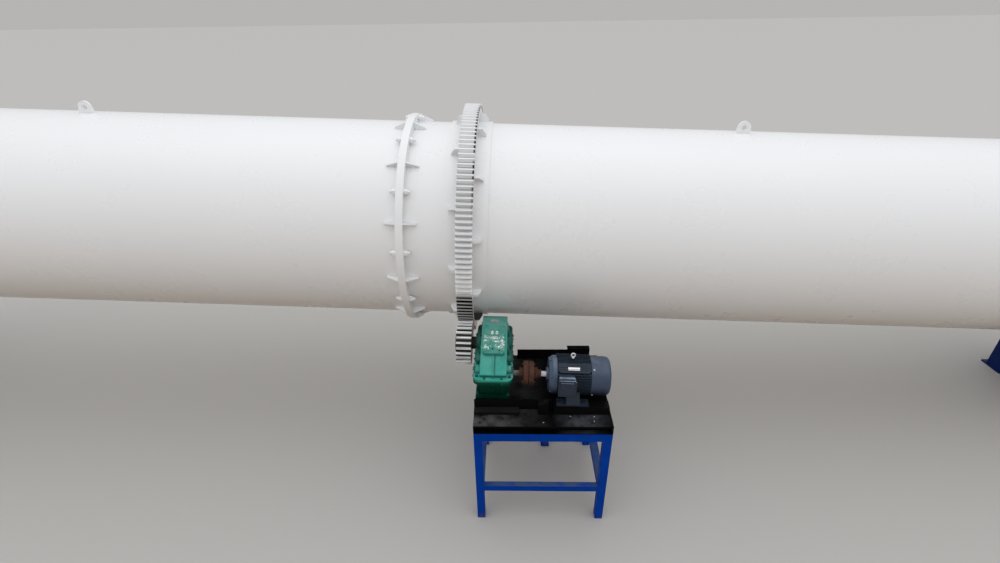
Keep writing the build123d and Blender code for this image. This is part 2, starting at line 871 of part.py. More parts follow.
save(terminal_box, "motor_terminal_box")

# Drive table: legs, top beams and low rails of square tube
table_front = drum_y - table_reach
table_rear = table_front + table_depth
table_right = table_left + table_length
leg_x = (table_left + leg_side / 2, table_right - leg_side / 2)
leg_y = (table_front + leg_side / 2, table_rear - leg_side / 2)
with BuildPart() as table_legs:
    for x in leg_x:
        for y in leg_y:
            with BuildSketch(level(x, y, 0)):
                Rectangle(leg_side, leg_side)
                Rectangle(leg_side - 2 * leg_wall, leg_side - 2 * leg_wall, mode=Mode.SUBTRACT)
            extrude(amount=table_height)
save(table_legs, "table_legs")

# Middle leg under the rear beam, on a foot plate, with the rear low rail in two lengths beside it
with BuildPart() as middle_leg:
    with BuildSketch(level(middle_leg_x, leg_y[1], 0)):
        Rectangle(foot_plate_side, foot_plate_side + leg_side / 4)
    extrude(amount=foot_plate_thickness)
    with BuildSketch(level(middle_leg_x, leg_y[1], foot_plate_thickness)):
        Rectangle(leg_side, leg_side)
        Rectangle(leg_side - 2 * leg_wall, leg_side - 2 * leg_wall, mode=Mode.SUBTRACT)
    extrude(amount=table_height - top_beam_depth - foot_plate_thickness)
save(middle_leg, "table_middle_leg")

with BuildPart() as table_long_beams:
    for y in leg_y:
        with BuildSketch(level((leg_x[0] + leg_x[1]) / 2, y, table_height)):
            Rectangle(table_length - 2 * leg_side, leg_side)
        extrude(amount=-top_beam_depth)
save(table_long_beams, "table_long_beams")

with BuildPart() as table_side_beams:
    for x in leg_x:
        with BuildSketch(level(x, (leg_y[0] + leg_y[1]) / 2, table_height)):
            Rectangle(leg_side, table_depth - 2 * leg_side)
        extrude(amount=-top_beam_depth)
save(table_side_beams, "table_side_beams")

with BuildPart() as table_low_rail:
    with BuildSketch(level((leg_x[0] + leg_x[1]) / 2, table_front + low_rail_width / 2, low_rail_top)):
        Rectangle(table_length - 2 * leg_side, low_rail_width)
    extrude(amount=-low_rail_height)
save(table_low_rail, "table_low_front_rail")

with BuildPart() as table_low_side_rails:
    for x in leg_x:
        with BuildSketch(level(x, (leg_y[0] + leg_y[1]) / 2, low_rail_top)):
            Rectangle(leg_side, table_depth - 2 * leg_side)
        extrude(amount=-low_rail_height)
save(table_low_side_rails, "table_low_side_rails")

# Platform: a plate on two channels that open outwards, and two end channels
channel_height = platform_height - platform_plate_thickness
table_middle_x = (table_left + table_right) / 2
table_middle_y = (table_front + table_rear) / 2
with BuildPart() as platform_plate:
    with BuildSketch(level(table_middle_x, table_middle_y, platform_top)):
        Rectangle(table_length, table_depth)
    extrude(amount=-platform_plate_thickness)
save(platform_plate, "platform_plate")

with BuildPart() as platform_channels:
    for edge, inward in ((table_front, 1), (table_rear, -1)):
        with BuildSketch(level(table_middle_x, edge + inward * platform_channel_depth / 2, table_height)):
            Rectangle(table_length, platform_channel_depth)
        extrude(amount=channel_height)
        recess = platform_channel_depth - platform_channel_wall
        with BuildSketch(level(table_middle_x, edge + inward * recess / 2, table_height + platform_channel_wall)):
            Rectangle(table_length - 2 * platform_channel_wall, recess)
        extrude(amount=channel_height - 2 * platform_channel_wall, mode=Mode.SUBTRACT)
save(platform_channels, "platform_channels")

# Cross channels between the platform's front and rear channels
with BuildPart() as cross_channels:
    inner_depth = table_depth - 2 * platform_channel_depth
    for x in (table_left, table_middle_x - platform_channel_depth / 2, table_right - platform_channel_depth):
        with BuildSketch(level(x + platform_channel_depth / 2, table_middle_y, table_height)):
            Rectangle(platform_channel_depth, inner_depth)
        extrude(amount=channel_height)
save(cross_channels, "platform_cross_channels")

# Front rail below the motor's near feet, as high as the motor's packing leaves it
motor_seat_up = pinion_up - motor_axis_height
packing_start = foot_start - packing_overhang
packing_end = foot_start + motor_foot_length + packing_overhang
packing_low = drum_point(packing_end, input_side, motor_seat_up).Z
front_rail_height = packing_low - motor_packing_thickness - platform_top
with BuildPart() as front_rail:
    rail_y = table_front + front_rail_setback + front_rail_width / 2
    rail_x = table_right - front_rail_end - front_rail_length / 2
    with BuildSketch(level(rail_x, rail_y, platform_top)):
        Rectangle(front_rail_length, front_rail_width)
    extrude(amount=front_rail_height)
save(front_rail, "front_rail")


# An angle bar along the platform, with its upright leg on the side that faces the viewer
def angle_sketch(y):
    return [
        (y, platform_top),
        (y + beam_width, platform_top),
        (y + beam_width, platform_top + beam_thickness),
        (y + beam_thickness, platform_top + beam_thickness),
        (y + beam_thickness, platform_top + beam_height),
        (y, platform_top + beam_height),
    ]


front_beam_y = table_front + front_beam_setback
rear_beam_y = table_rear - beam_width
for name, start, length, beam_y in (
    ("front_beam", table_left, front_beam_length, front_beam_y),
    ("rear_beam", rear_beam_start, rear_beam_length, rear_beam_y),
):
    with BuildPart() as angle_beam:
        with BuildSketch(Plane(origin=(start, 0, 0), x_dir=(0, 1, 0), z_dir=(1, 0, 0))):
            with BuildLine():
                Polyline(*angle_sketch(beam_y), close=True)
            make_face()
        extrude(amount=length)
        if name == "rear_beam":
            cap_x = start + length - rear_cap_length / 2
            with BuildSketch(level(cap_x, beam_y + beam_width / 2, platform_top + beam_height)):
                Rectangle(rear_cap_length, beam_width)
            extrude(amount=rear_cap_thickness)
    save(angle_beam, name)

# Flat strip and stop block in front of the front beam
rest_y = front_beam_y - rest_width / 2
with BuildPart() as front_strip:
    with BuildSketch(level(table_left + strip_length / 2, rest_y, platform_top)):
        Rectangle(strip_length, rest_width)
    extrude(amount=strip_height)
save(front_strip, "front_strip")
with BuildPart() as stop_block:
    with BuildSketch(level(stop_block_start + stop_block_length / 2, rest_y, platform_top)):
        Rectangle(stop_block_length, rest_width)
    extrude(amount=stop_block_height)
save(stop_block, "stop_block")

# The corners of a wedge between a level face and a leaning seat above it
def wedge_corners(start, end, side, bottom, top_up):
    left = drum_point(start, side, top_up)
    right = drum_point(end, side, top_up)
    return [
        (left.X, bottom),
        (right.X, bottom),
        (right.X, right.Z),
        (left.X, left.Z),
    ]


gearbox_seat_up = pinion_up - gearbox_axis_height
seat_side = (base_front + base_rear) / 2
seat_width_y = base_rear - base_front
seat_start = gearbox_station - foot_width / 2
seat_end = gearbox_station + foot_width / 2
with BuildPart() as gearbox_seat:
    with BuildSketch(upright(drum_y + seat_side - seat_width_y / 2)):
        with BuildLine():
            Polyline(*wedge_corners(seat_start, seat_end, seat_side, platform_top, gearbox_seat_up), close=True)
        make_face()
    extrude(amount=-seat_width_y)
save(gearbox_seat, "gearbox_seat")

# Packing below the motor's feet, thin on the front rail and full height behind
packing_offset = foot_spread - motor_foot_width / 2
with BuildPart() as motor_packing:
    for direction, bottom in ((-1, platform_top + front_rail_height), (1, platform_top)):
        packing_side = input_side + direction * packing_offset
        with BuildSketch(upright(drum_y + packing_side - packing_width / 2)):
            with BuildLine():
                Polyline(
                    *wedge_corners(packing_start, packing_end, packing_side, bottom, motor_seat_up),
                    close=True,
                )
            make_face()
        extrude(amount=-packing_width)
save(motor_packing, "motor_packing")

# Supports, one below each riding ring
roller_distance = ring_radius + roller_radius + roller_gap
roller_side = roller_distance * sin(radians(roller_angle))
roller_up = -roller_distance * cos(radians(roller_angle))
bed_up = roller_up - roller_radius - roller_clearance
pedestal_height = roller_radius + roller_clearance - bearing_height
for side_name, station in (("left", -ring_station), ("right", ring_station)):
    bearing_offset = roller_width / 2 + bearing_gap + bearing_length / 2
    shaft_half = bearing_offset + bearing_length / 2 + shaft_end
    bed_centre = drum_point(station, 0, bed_up)
    beam_top = bed_centre.Z - bed_thickness
    beam_bottom = beam_top - support_beam_depth
    bed_left = bed_centre.X - post_depth / 2
    bed_right = bed_centre.X + post_depth / 2

    with BuildPart() as support_rollers:
        for side in (-roller_side, roller_side):
            with BuildSketch(across(station - roller_width / 2, side, roller_up)):
                Circle(roller_radius)
            extrude(amount=roller_width)
            with BuildSketch(across(station - shaft_half, side, roller_up)):
                Circle(roller_shaft_radius)
            extrude(amount=2 * shaft_half)
    save(support_rollers, "support_rollers_" + side_name)

    with BuildPart() as roller_bearings:
        for side in (-roller_side, roller_side):
            for direction in (-1, 1):
                start = station + direction * bearing_offset - bearing_length / 2
                with BuildSketch(across(start, side, roller_up)):
                    with BuildLine():
                        half = bearing_width / 2
                        eye = bearing_eye_radius
                        shoulder = bearing_foot - bearing_height
                        Line((-half, -bearing_height), (half, -bearing_height))
                        Line((half, -bearing_height), (half, shoulder))
                        Line((half, shoulder), (eye, 0))
                        ThreePointArc((eye, 0), (0, eye), (-eye, 0))
                        Line((-eye, 0), (-half, shoulder))
                        Line((-half, shoulder), (-half, -bearing_height))
                    make_face()
                    Circle(roller_shaft_radius + shaft_clearance, mode=Mode.SUBTRACT)
                extrude(amount=bearing_length)
    save(roller_bearings, "roller_bearings_" + side_name)

    with BuildPart() as roller_bed:
        with BuildSketch(upright(drum_y - bed_length / 2)):
            with BuildLine():
                rise = post_depth / 2 * fall
                Polyline(
                    (bed_left, beam_top),
                    (bed_right, beam_top),
                    (bed_right, bed_centre.Z - rise),
                    (bed_left, bed_centre.Z + rise),
                    close=True,
                )
            make_face()
        extrude(amount=-bed_length)
        for side in (-roller_side, roller_side):
            for direction in (-1, 1):
                start = station + direction * bearing_offset - bearing_length / 2
                with BuildSketch(across(start, side, bed_up + pedestal_height / 2)):
                    Rectangle(pedestal_width, pedestal_height)
                extrude(amount=bearing_length)
    save(roller_bed, "roller_bed_" + side_name)

    with BuildPart() as support_beam:
        with BuildSketch(upright(drum_y - bed_length / 2)):
            with Locations((bed_centre.X, beam_top - support_beam_depth / 2)):
                Rectangle(post_depth, support_beam_depth)
                Rectangle(post_depth - 2 * support_beam_wall, support_beam_depth - 2 * support_beam_wall, mode=Mode.SUBTRACT)
        extrude(amount=-bed_length)
    save(support_beam, "support_beam_" + side_name)

    with BuildPart() as support_posts:
        for direction in (-1, 1):
            post_y = drum_y + direction * post_spread
            with BuildSketch(level(bed_centre.X, post_y, base_plate)):
                Rectangle(post_depth, post_width)
                for flank in (-1, 1):
                    with Locations((0, flank * (post_web / 2 + post_width) / 2)):
                        Rectangle(post_depth - 2 * post_flange, post_width - post_web / 2, mode=Mode.SUBTRACT)
            extrude(amount=beam_bottom - base_plate)
            with BuildSketch(level(bed_centre.X, drum_y + direction * base_plate_spread, 0)):
                Rectangle(base_plate_depth, base_plate_width)
            extrude(amount=base_plate)
            with BuildSketch(level(bed_centre.X, post_y, 0)):
                with GridLocations(anchor_spacing_x, anchor_spacing_y, 2, 2):
                    Circle(anchor_radius)
            extrude(amount=base_plate, mode=Mode.SUBTRACT)
    save(support_posts, "support_posts_" + side_name)

    with BuildPart() as support_tie:
        tie_y = drum_y - post_spread + post_web / 2
        with BuildSketch(upright(tie_y)):
            with Locations((bed_centre.X, tie_bottom + tie_depth / 2)):
                Rectangle(tie_width, tie_depth)
                Rectangle(tie_width - 2 * tie_wall, tie_depth - 2 * tie_wall, mode=Mode.SUBTRACT)
        extrude(amount=-2 * (post_spread - post_web / 2))
    save(support_tie, "support_tie_" + side_name)

# Thrust rollers that stop the drum from creeping along its slope
thrust_top = -shell_radius - seat_thickness - thrust_drop
thrust_offset = ring_width / 2 + thrust_gap + thrust_radius
with BuildPart() as thrust_rollers:
    for direction in (-1, 1):
        station = ring_station + direction * thrust_offset
        with BuildSketch(laid(station, 0, bed_up)):
            Rectangle(thrust_base_side, thrust_base_side)
        extrude(amount=thrust_base_height)
        with BuildSketch(laid(station, 0, bed_up + thrust_base_height)):
            Circle(thrust_stem_radius)
        extrude(amount=thrust_top - thrust_height - bed_up - thrust_base_height)
        with BuildSketch(laid(station, 0, thrust_top - thrust_height)):
            Circle(thrust_radius)
        extrude(amount=thrust_height)
save(thrust_rollers, "thrust_rollers")
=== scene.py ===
import math

import bmesh
import bpy
from mathutils import Matrix, Vector


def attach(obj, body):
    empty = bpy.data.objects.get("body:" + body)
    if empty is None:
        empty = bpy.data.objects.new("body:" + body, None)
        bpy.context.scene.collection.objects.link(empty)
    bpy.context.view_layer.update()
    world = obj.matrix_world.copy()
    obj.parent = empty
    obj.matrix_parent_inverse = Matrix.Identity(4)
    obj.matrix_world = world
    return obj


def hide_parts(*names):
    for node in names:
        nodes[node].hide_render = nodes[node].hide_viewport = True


print("stage: loading the drum and its drive")
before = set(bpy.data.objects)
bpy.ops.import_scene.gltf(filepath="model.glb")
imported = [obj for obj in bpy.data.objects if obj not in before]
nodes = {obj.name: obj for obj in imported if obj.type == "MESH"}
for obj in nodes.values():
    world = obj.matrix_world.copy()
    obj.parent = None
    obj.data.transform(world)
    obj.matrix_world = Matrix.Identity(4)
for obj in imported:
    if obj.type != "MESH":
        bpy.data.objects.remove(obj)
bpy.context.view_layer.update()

# where the leaning drum lies, in metres
drumLine = {
    "fall": 0.04,
    "height": 1.8,
    "sideways": 0.26,
}
lean = math.atan(drumLine["fall"])
along = Vector((math.cos(lean), 0, -math.sin(lean)))
upward = Vector((math.sin(lean), 0, math.cos(lean)))
backward = Vector((0, 1, 0))

# the drive's own lines, from the drum's middle: shaft height and the sides of its shafts
drive = {
    "centre": 0.648,
    "up": -0.634518,
    "output": -0.806265,
    "middle": -0.993265,
    "input": -1.133265,
    "seat": -0.834518,
}


# a place given along the drum, to its side and above its axis
def drumPoint(distance, side=0.0, up=0.0):
    start = Vector((0, drumLine["sideways"], drumLine["height"]))
    return start + along * distance + backward * side + upward * up


def outwards(degreesUp):
    turn = math.radians(degreesUp)
    return backward * math.cos(turn) + upward * math.sin(turn)


def addObject(name, data):
    item = bpy.data.objects.new(name, data)
    bpy.context.scene.collection.objects.link(item)
    return item


print("stage: camera")
# where the photograph was taken from, in metres, degrees and millimetres of lens
cameraView = {
    "place": (0.751, -3.493, 3.299),
    "down": 29.118,
    "aside": -1.600,
    "roll": -0.921,
    "lens": 17.85,
    "sensor": 36.0,
    "farthest": 200.0,
}
cameraData = bpy.data.cameras.new("camera")
cameraData.lens = cameraView["lens"]
cameraData.sensor_width = cameraView["sensor"]
cameraData.sensor_fit = "HORIZONTAL"
cameraData.clip_end = cameraView["farthest"]
camera = addObject("camera", cameraData)
down = math.radians(cameraView["down"])
aside = math.radians(cameraView["aside"])
roll = math.radians(cameraView["roll"])
ahead = Vector((math.sin(aside) * math.cos(down), math.cos(aside) * math.cos(down), -math.sin(down)))
level = Vector((math.cos(aside), -math.sin(aside), 0))
above = level.cross(ahead)
rightward = level * math.cos(roll) + above * math.sin(roll)
topward = above * math.cos(roll) - level * math.sin(roll)
turned = Matrix((rightward, topward, -ahead)).transposed().to_4x4()
camera.matrix_world = Matrix.Translation(cameraView["place"]) @ turned
bpy.context.scene.camera = camera


# one step of arithmetic on sockets or numbers
def mathStep(tree, operation, *values):
    node = tree.nodes.new("ShaderNodeMath")
    node.operation = operation
    for socket, value in zip(node.inputs, values):
        if isinstance(value, float):
            socket.default_value = value
        else:
            tree.links.new(value, socket)
    return node.outputs[0]


def times(tree, first, second):
    return mathStep(tree, "MULTIPLY", first, second)


# 1 where the camera looks straight at something, in a mirror or through glass
def seenDirectly(tree):
    rays = tree.nodes.new("ShaderNodeLightPath").outputs
    seen = mathStep(tree, "MAXIMUM", rays["Is Camera Ray"], rays["Is Glossy Ray"])
    return mathStep(tree, "MAXIMUM", seen, rays["Is Transmission Ray"])


print("stage: light")
# soft, even light from all round, with a little more from straight above
lightLevels = {
    "sky": 1.07,
    "skyColour": (0.955, 0.972, 1.0),
    "top": 0.48,
    "topAngle": 70.0,
    "backdrop": (0.47, 0.46, 0.45),
}
world = bpy.data.worlds.new("studio")
world.use_nodes = True
bpy.context.scene.world = world
skyTree = world.node_tree
sky = skyTree.nodes["Background"]
sky.inputs["Color"].default_value = (*lightLevels["skyColour"], 1.0)
sky.inputs["Strength"].default_value = lightLevels["sky"]
backdrop = skyTree.nodes.new("ShaderNodeBackground")
backdrop.inputs["Color"].default_value = (*lightLevels["backdrop"], 1.0)
backdrop.inputs["Strength"].default_value = 1.0
blendSky = skyTree.nodes.new("ShaderNodeMixShader")
skyTree.links.new(seenDirectly(skyTree), blendSky.inputs[0])
skyTree.links.new(sky.outputs[0], blendSky.inputs[1])
skyTree.links.new(backdrop.outputs[0], blendSky.inputs[2])
skyTree.links.new(blendSky.outputs[0], skyTree.nodes["World Output"].inputs[0])
lampData = bpy.data.lights.new("topLight", "SUN")
lampData.energy = lightLevels["top"]
lampData.angle = math.radians(lightLevels["topAngle"])
addObject("topLight", lampData)
bpy.context.scene.view_settings.view_transform = "Standard"


# material building blocks, all on Object coordinates
def startMaterial(name):
    material = bpy.data.materials.new(name)
    material.use_nodes = True
    tree = material.node_tree
    shader = tree.nodes["Principled BSDF"]
    place = tree.nodes.new("ShaderNodeTexCoord").outputs["Object"]
    return material, tree, shader, place


def stretched(tree, place, scale):
    mapping = tree.nodes.new("ShaderNodeMapping")
    mapping.inputs["Scale"].default_value = scale
    tree.links.new(place, mapping.inputs["Vector"])
    return mapping.outputs["Vector"]


# 0 at the first limit and 1 at the second, whichever is larger
def ramped(tree, value, low, high):
    ramp = tree.nodes.new("ShaderNodeMapRange")
    ramp.inputs["From Min"].default_value = low
    ramp.inputs["From Max"].default_value = high
    tree.links.new(value, ramp.inputs["Value"])
    return ramp.outputs["Result"]


# soft patches of noise, finer with a larger scale
def patches(tree, place, scale, low=0.3, high=0.7, detail=4.0, rough=0.6):
    noise = tree.nodes.new("ShaderNodeTexNoise")
    noise.inputs["Scale"].default_value = scale
    noise.inputs["Detail"].default_value = detail
    noise.inputs["Roughness"].default_value = rough
    tree.links.new(place, noise.inputs["Vector"])
    return ramped(tree, noise.outputs["Fac"], low, high)


# two colours, the second by the amount; inputs 6 and 7 are the node's colours
def mixed(tree, amount, first, second):
    mix = tree.nodes.new("ShaderNodeMix")
    mix.data_type = "RGBA"
    tree.links.new(amount, mix.inputs[0])
    for socket, value in ((mix.inputs[6], first), (mix.inputs[7], second)):
        if isinstance(value, tuple):
            socket.default_value = (*value, 1.0)
        else:
            tree.links.new(value, socket)
    return mix.outputs[2]


# 0 to 1 between two places on one of the three axes
def zone(tree, place, axis, low, high):
    split = tree.nodes.new("ShaderNodeSeparateXYZ")
    tree.links.new(place, split.inputs[0])
    return ramped(tree, split.outputs[axis], low, high)


# an amount that is left only inside all of the given zones
def within(tree, place, amount, zones):
    for limits in zones:
        amount = times(tree, amount, zone(tree, place, *limits))
    return amount


def vectorStep(tree, operation, first, second=None, result="Vector"):
    node = tree.nodes.new("ShaderNodeVectorMath")
    node.operation = operation
    tree.links.new(first, node.inputs[0])
    if second is not None:
        node.inputs[1].default_value = second
    return node.outputs[result]


# distance from a point
def fromPoint(tree, place, centre):
    return vectorStep(tree, "LENGTH", vectorStep(tree, "SUBTRACT", place, centre), result="Value")


# distance from a line that runs the way the drum does
def fromLine(tree, place, centre):
    across = vectorStep(tree, "CROSS_PRODUCT", vectorStep(tree, "SUBTRACT", place, centre), along)
    return vectorStep(tree, "LENGTH", across, result="Value")


# distance from a point, counted in one direction only
def reachAlong(tree, place, centre, direction):
    offset = vectorStep(tree, "SUBTRACT", place, centre)
    return vectorStep(tree, "DOT_PRODUCT", offset, direction, result="Value")


def facingUp(tree, low=0.6, high=0.95):
    normal = tree.nodes.new("ShaderNodeNewGeometry").outputs["Normal"]
    return zone(tree, normal, 2, low, high)


# 1 on faces that look along the drum, either way; the mask for the painted shade on the gearbox's sides
def shadedSideFaces(tree, low=0.5, high=0.9):
    normal = tree.nodes.new("ShaderNodeNewGeometry").outputs["Normal"]
    share = vectorStep(tree, "DOT_PRODUCT", normal, along, result="Value")
    return ramped(tree, mathStep(tree, "ABSOLUTE", share), low, high)


# roughness between two values, by an amount
def roughened(tree, shader, amount, low, high):
    spread = tree.nodes.new("ShaderNodeMapRange")
    spread.inputs["To Min"].default_value = low
    spread.inputs["To Max"].default_value = high
    tree.links.new(amount, spread.inputs["Value"])
    tree.links.new(spread.outputs["Result"], shader.inputs["Roughness"])


# fine grain all over, as a bump
def grained(tree, shader, place, scale, depth, strength=0.6):
    bump = tree.nodes.new("ShaderNodeBump")
    bump.inputs["Distance"].default_value = depth
    bump.inputs["Strength"].default_value = strength
    tree.links.new(patches(tree, place, scale), bump.inputs["Height"])
    tree.links.new(bump.outputs["Normal"], shader.inputs["Normal"])


# what every paint has, unless its own look says otherwise
paintBasics = {
    "toneSpread": (0.35, 0.7), "shine": 0.5,
    "roughSpread": 0.15, "roughTimes": 3,
    "grain": 180.0, "grainDepth": 0.0004,
    "dustAndShadeZones": (),
    "spotTimes": 2, "spotPatches": (0.25, 0.6),
    "ribShadowAmount": 0.7,
    "wipeSpread": (0.40, 0.66), "wipeFacing": (0.3, 0.6),
    "lipShadeFacing": (0.6, 0.3), "footFacing": (0.98, 0.90),
    "bossAmount": 0.85,
    "underFacing": (0.0, -0.75),
    "scuffSpread": (0.38, 0.58), "scuffFacing": (0.5, 0.1),
    "rimMetal": 0.8,
    "chipEdge": 0.02, "chipDetail": 6.0, "chipRagged": 0.7,
}


# paint in layers, each one only where the look names it
def paint(name, ownLook):
    look = {**paintBasics, **ownLook}
    material, tree, shader, place = startMaterial(name)
    tone = patches(tree, place, look["toneScale"], *look["toneSpread"])
    colour = mixed(tree, tone, look["colour"], look["tone"])
    if "dust" in look:
        settled = patches(tree, place, look["dustScale"], look["dustLow"], look["dustHigh"])
        settled = within(tree, place, times(tree, facingUp(tree), settled), look["dustAndShadeZones"])
        colour = mixed(tree, settled, colour, look["dust"])
    if "spot" in look:
        near = ramped(tree, fromPoint(tree, place, look["spotAt"]), *look["spotRadius"])
        uneven = patches(tree, place, look["dustScale"] * look["spotTimes"], *look["spotPatches"])
        near = times(tree, times(tree, near, facingUp(tree)), uneven)
        colour = mixed(tree, near, colour, look["spot"])
    # dark patches by height: real rust on the table's feet, and painted shadow on the gear brackets' lowest
    # ends
    if "bareAndShadow" in look:
        bared = patches(tree, place, look["bareScale"], *look["bareSpread"])
        colour = mixed(tree, within(tree, place, bared, (look["bareZone"],)), colour, look["bareAndShadow"])
    # painted shade: faces that look along the drum take a darker colour
    if "side" in look:
        colour = mixed(tree, shadedSideFaces(tree), colour, look["side"])
    # painted shadow: a dark line along the right side of the rib on the gearbox's nose
    if "ribShadow" in look:
        away = reachAlong(tree, place, drumPoint(look["ribShadowAt"]), along)
        width = look["ribShadowWidth"]
        near = times(tree, ramped(tree, away, -width, -width / 3), ramped(tree, away, width, width / 3))
        near = within(tree, place, near, look["ribShadowZones"])
        colour = mixed(tree, times(tree, near, look["ribShadowAmount"]), colour, look["ribShadow"])
    if "wipe" in look:
        wiped = patches(tree, stretched(tree, place, look["wipeScale"]), 1.0, *look["wipeSpread"])
        wiped = within(tree, place, wiped, look["wipeZones"])
        colour = mixed(tree, times(tree, wiped, facingUp(tree, *look["wipeFacing"])), colour, look["wipe"])
    # painted shade: the lower part of the split flange's rim, and a band where the cover meets the flange,
    # turn darker
    for edge in ("lipShade", "foot"):
        if edge in look:
            band = within(tree, place, facingUp(tree, *look[edge + "Facing"]), look[edge + "Zones"])
            colour = mixed(tree, band, colour, look[edge])
    # painted shade: the bearing bosses at both sides of the gearbox's middle are darker
    if "bossShade" in look:
        away = mathStep(tree, "ABSOLUTE", reachAlong(tree, place, drumPoint(drive["centre"]), along))
        beside = within(tree, place, ramped(tree, away, *look["bossFrom"]), (look["bossFront"],))
        colour = mixed(tree, times(tree, beside, look["bossAmount"]), colour, look["bossShade"])
    # painted shade: faces that look downward take a darker colour
    if "under" in look:
        colour = mixed(tree, facingUp(tree, *look["underFacing"]), colour, look["under"])
    # painted shade: darker deep between the motor's fins, close to its shaft line
    if "gap" in look:
        radius = fromLine(tree, place, drumPoint(0, drive["input"], drive["up"]))
        colour = mixed(tree, ramped(tree, radius, *look["gapRadius"]), colour, look["gap"])
    if "scuff" in look:
        streaks = patches(tree, stretched(tree, place, look["scuffScale"]), 1.0, *look["scuffSpread"])
        band = within(tree, place, facingUp(tree, *look["scuffFacing"]), look["scuffZones"])
        colour = mixed(tree, times(tree, streaks, band), colour, look["scuff"])
    if "inside" in look:
        inner = ramped(tree, fromLine(tree, place, drumPoint(0)), *look["insideRadius"])
        colour = mixed(tree, inner, colour, look["inside"])
    if "rim" in look:
        outer = ramped(tree, fromLine(tree, place, drumPoint(0)), *look["rimRadius"])
        colour = mixed(tree, outer, colour, look["rim"])
        tree.links.new(times(tree, outer, look["rimMetal"]), shader.inputs["Metallic"])
    if "chip" in look:
        chipHigh = look["chipLow"] + look["chipEdge"]
        chipped = patches(tree, place, look["chipScale"], look["chipLow"], chipHigh,
                          detail=look["chipDetail"], rough=look["chipRagged"])
        colour = mixed(tree, chipped, colour, look["chip"])
    tree.links.new(colour, shader.inputs["Base Color"])
    shader.inputs["Specular IOR Level"].default_value = look["shine"]
    uneven = patches(tree, place, look["toneScale"] * look["roughTimes"])
    roughened(tree, shader, uneven, look["roughness"], look["roughness"] + look["roughSpread"])
    grained(tree, shader, place, look["grain"], look["grainDepth"])
    return material


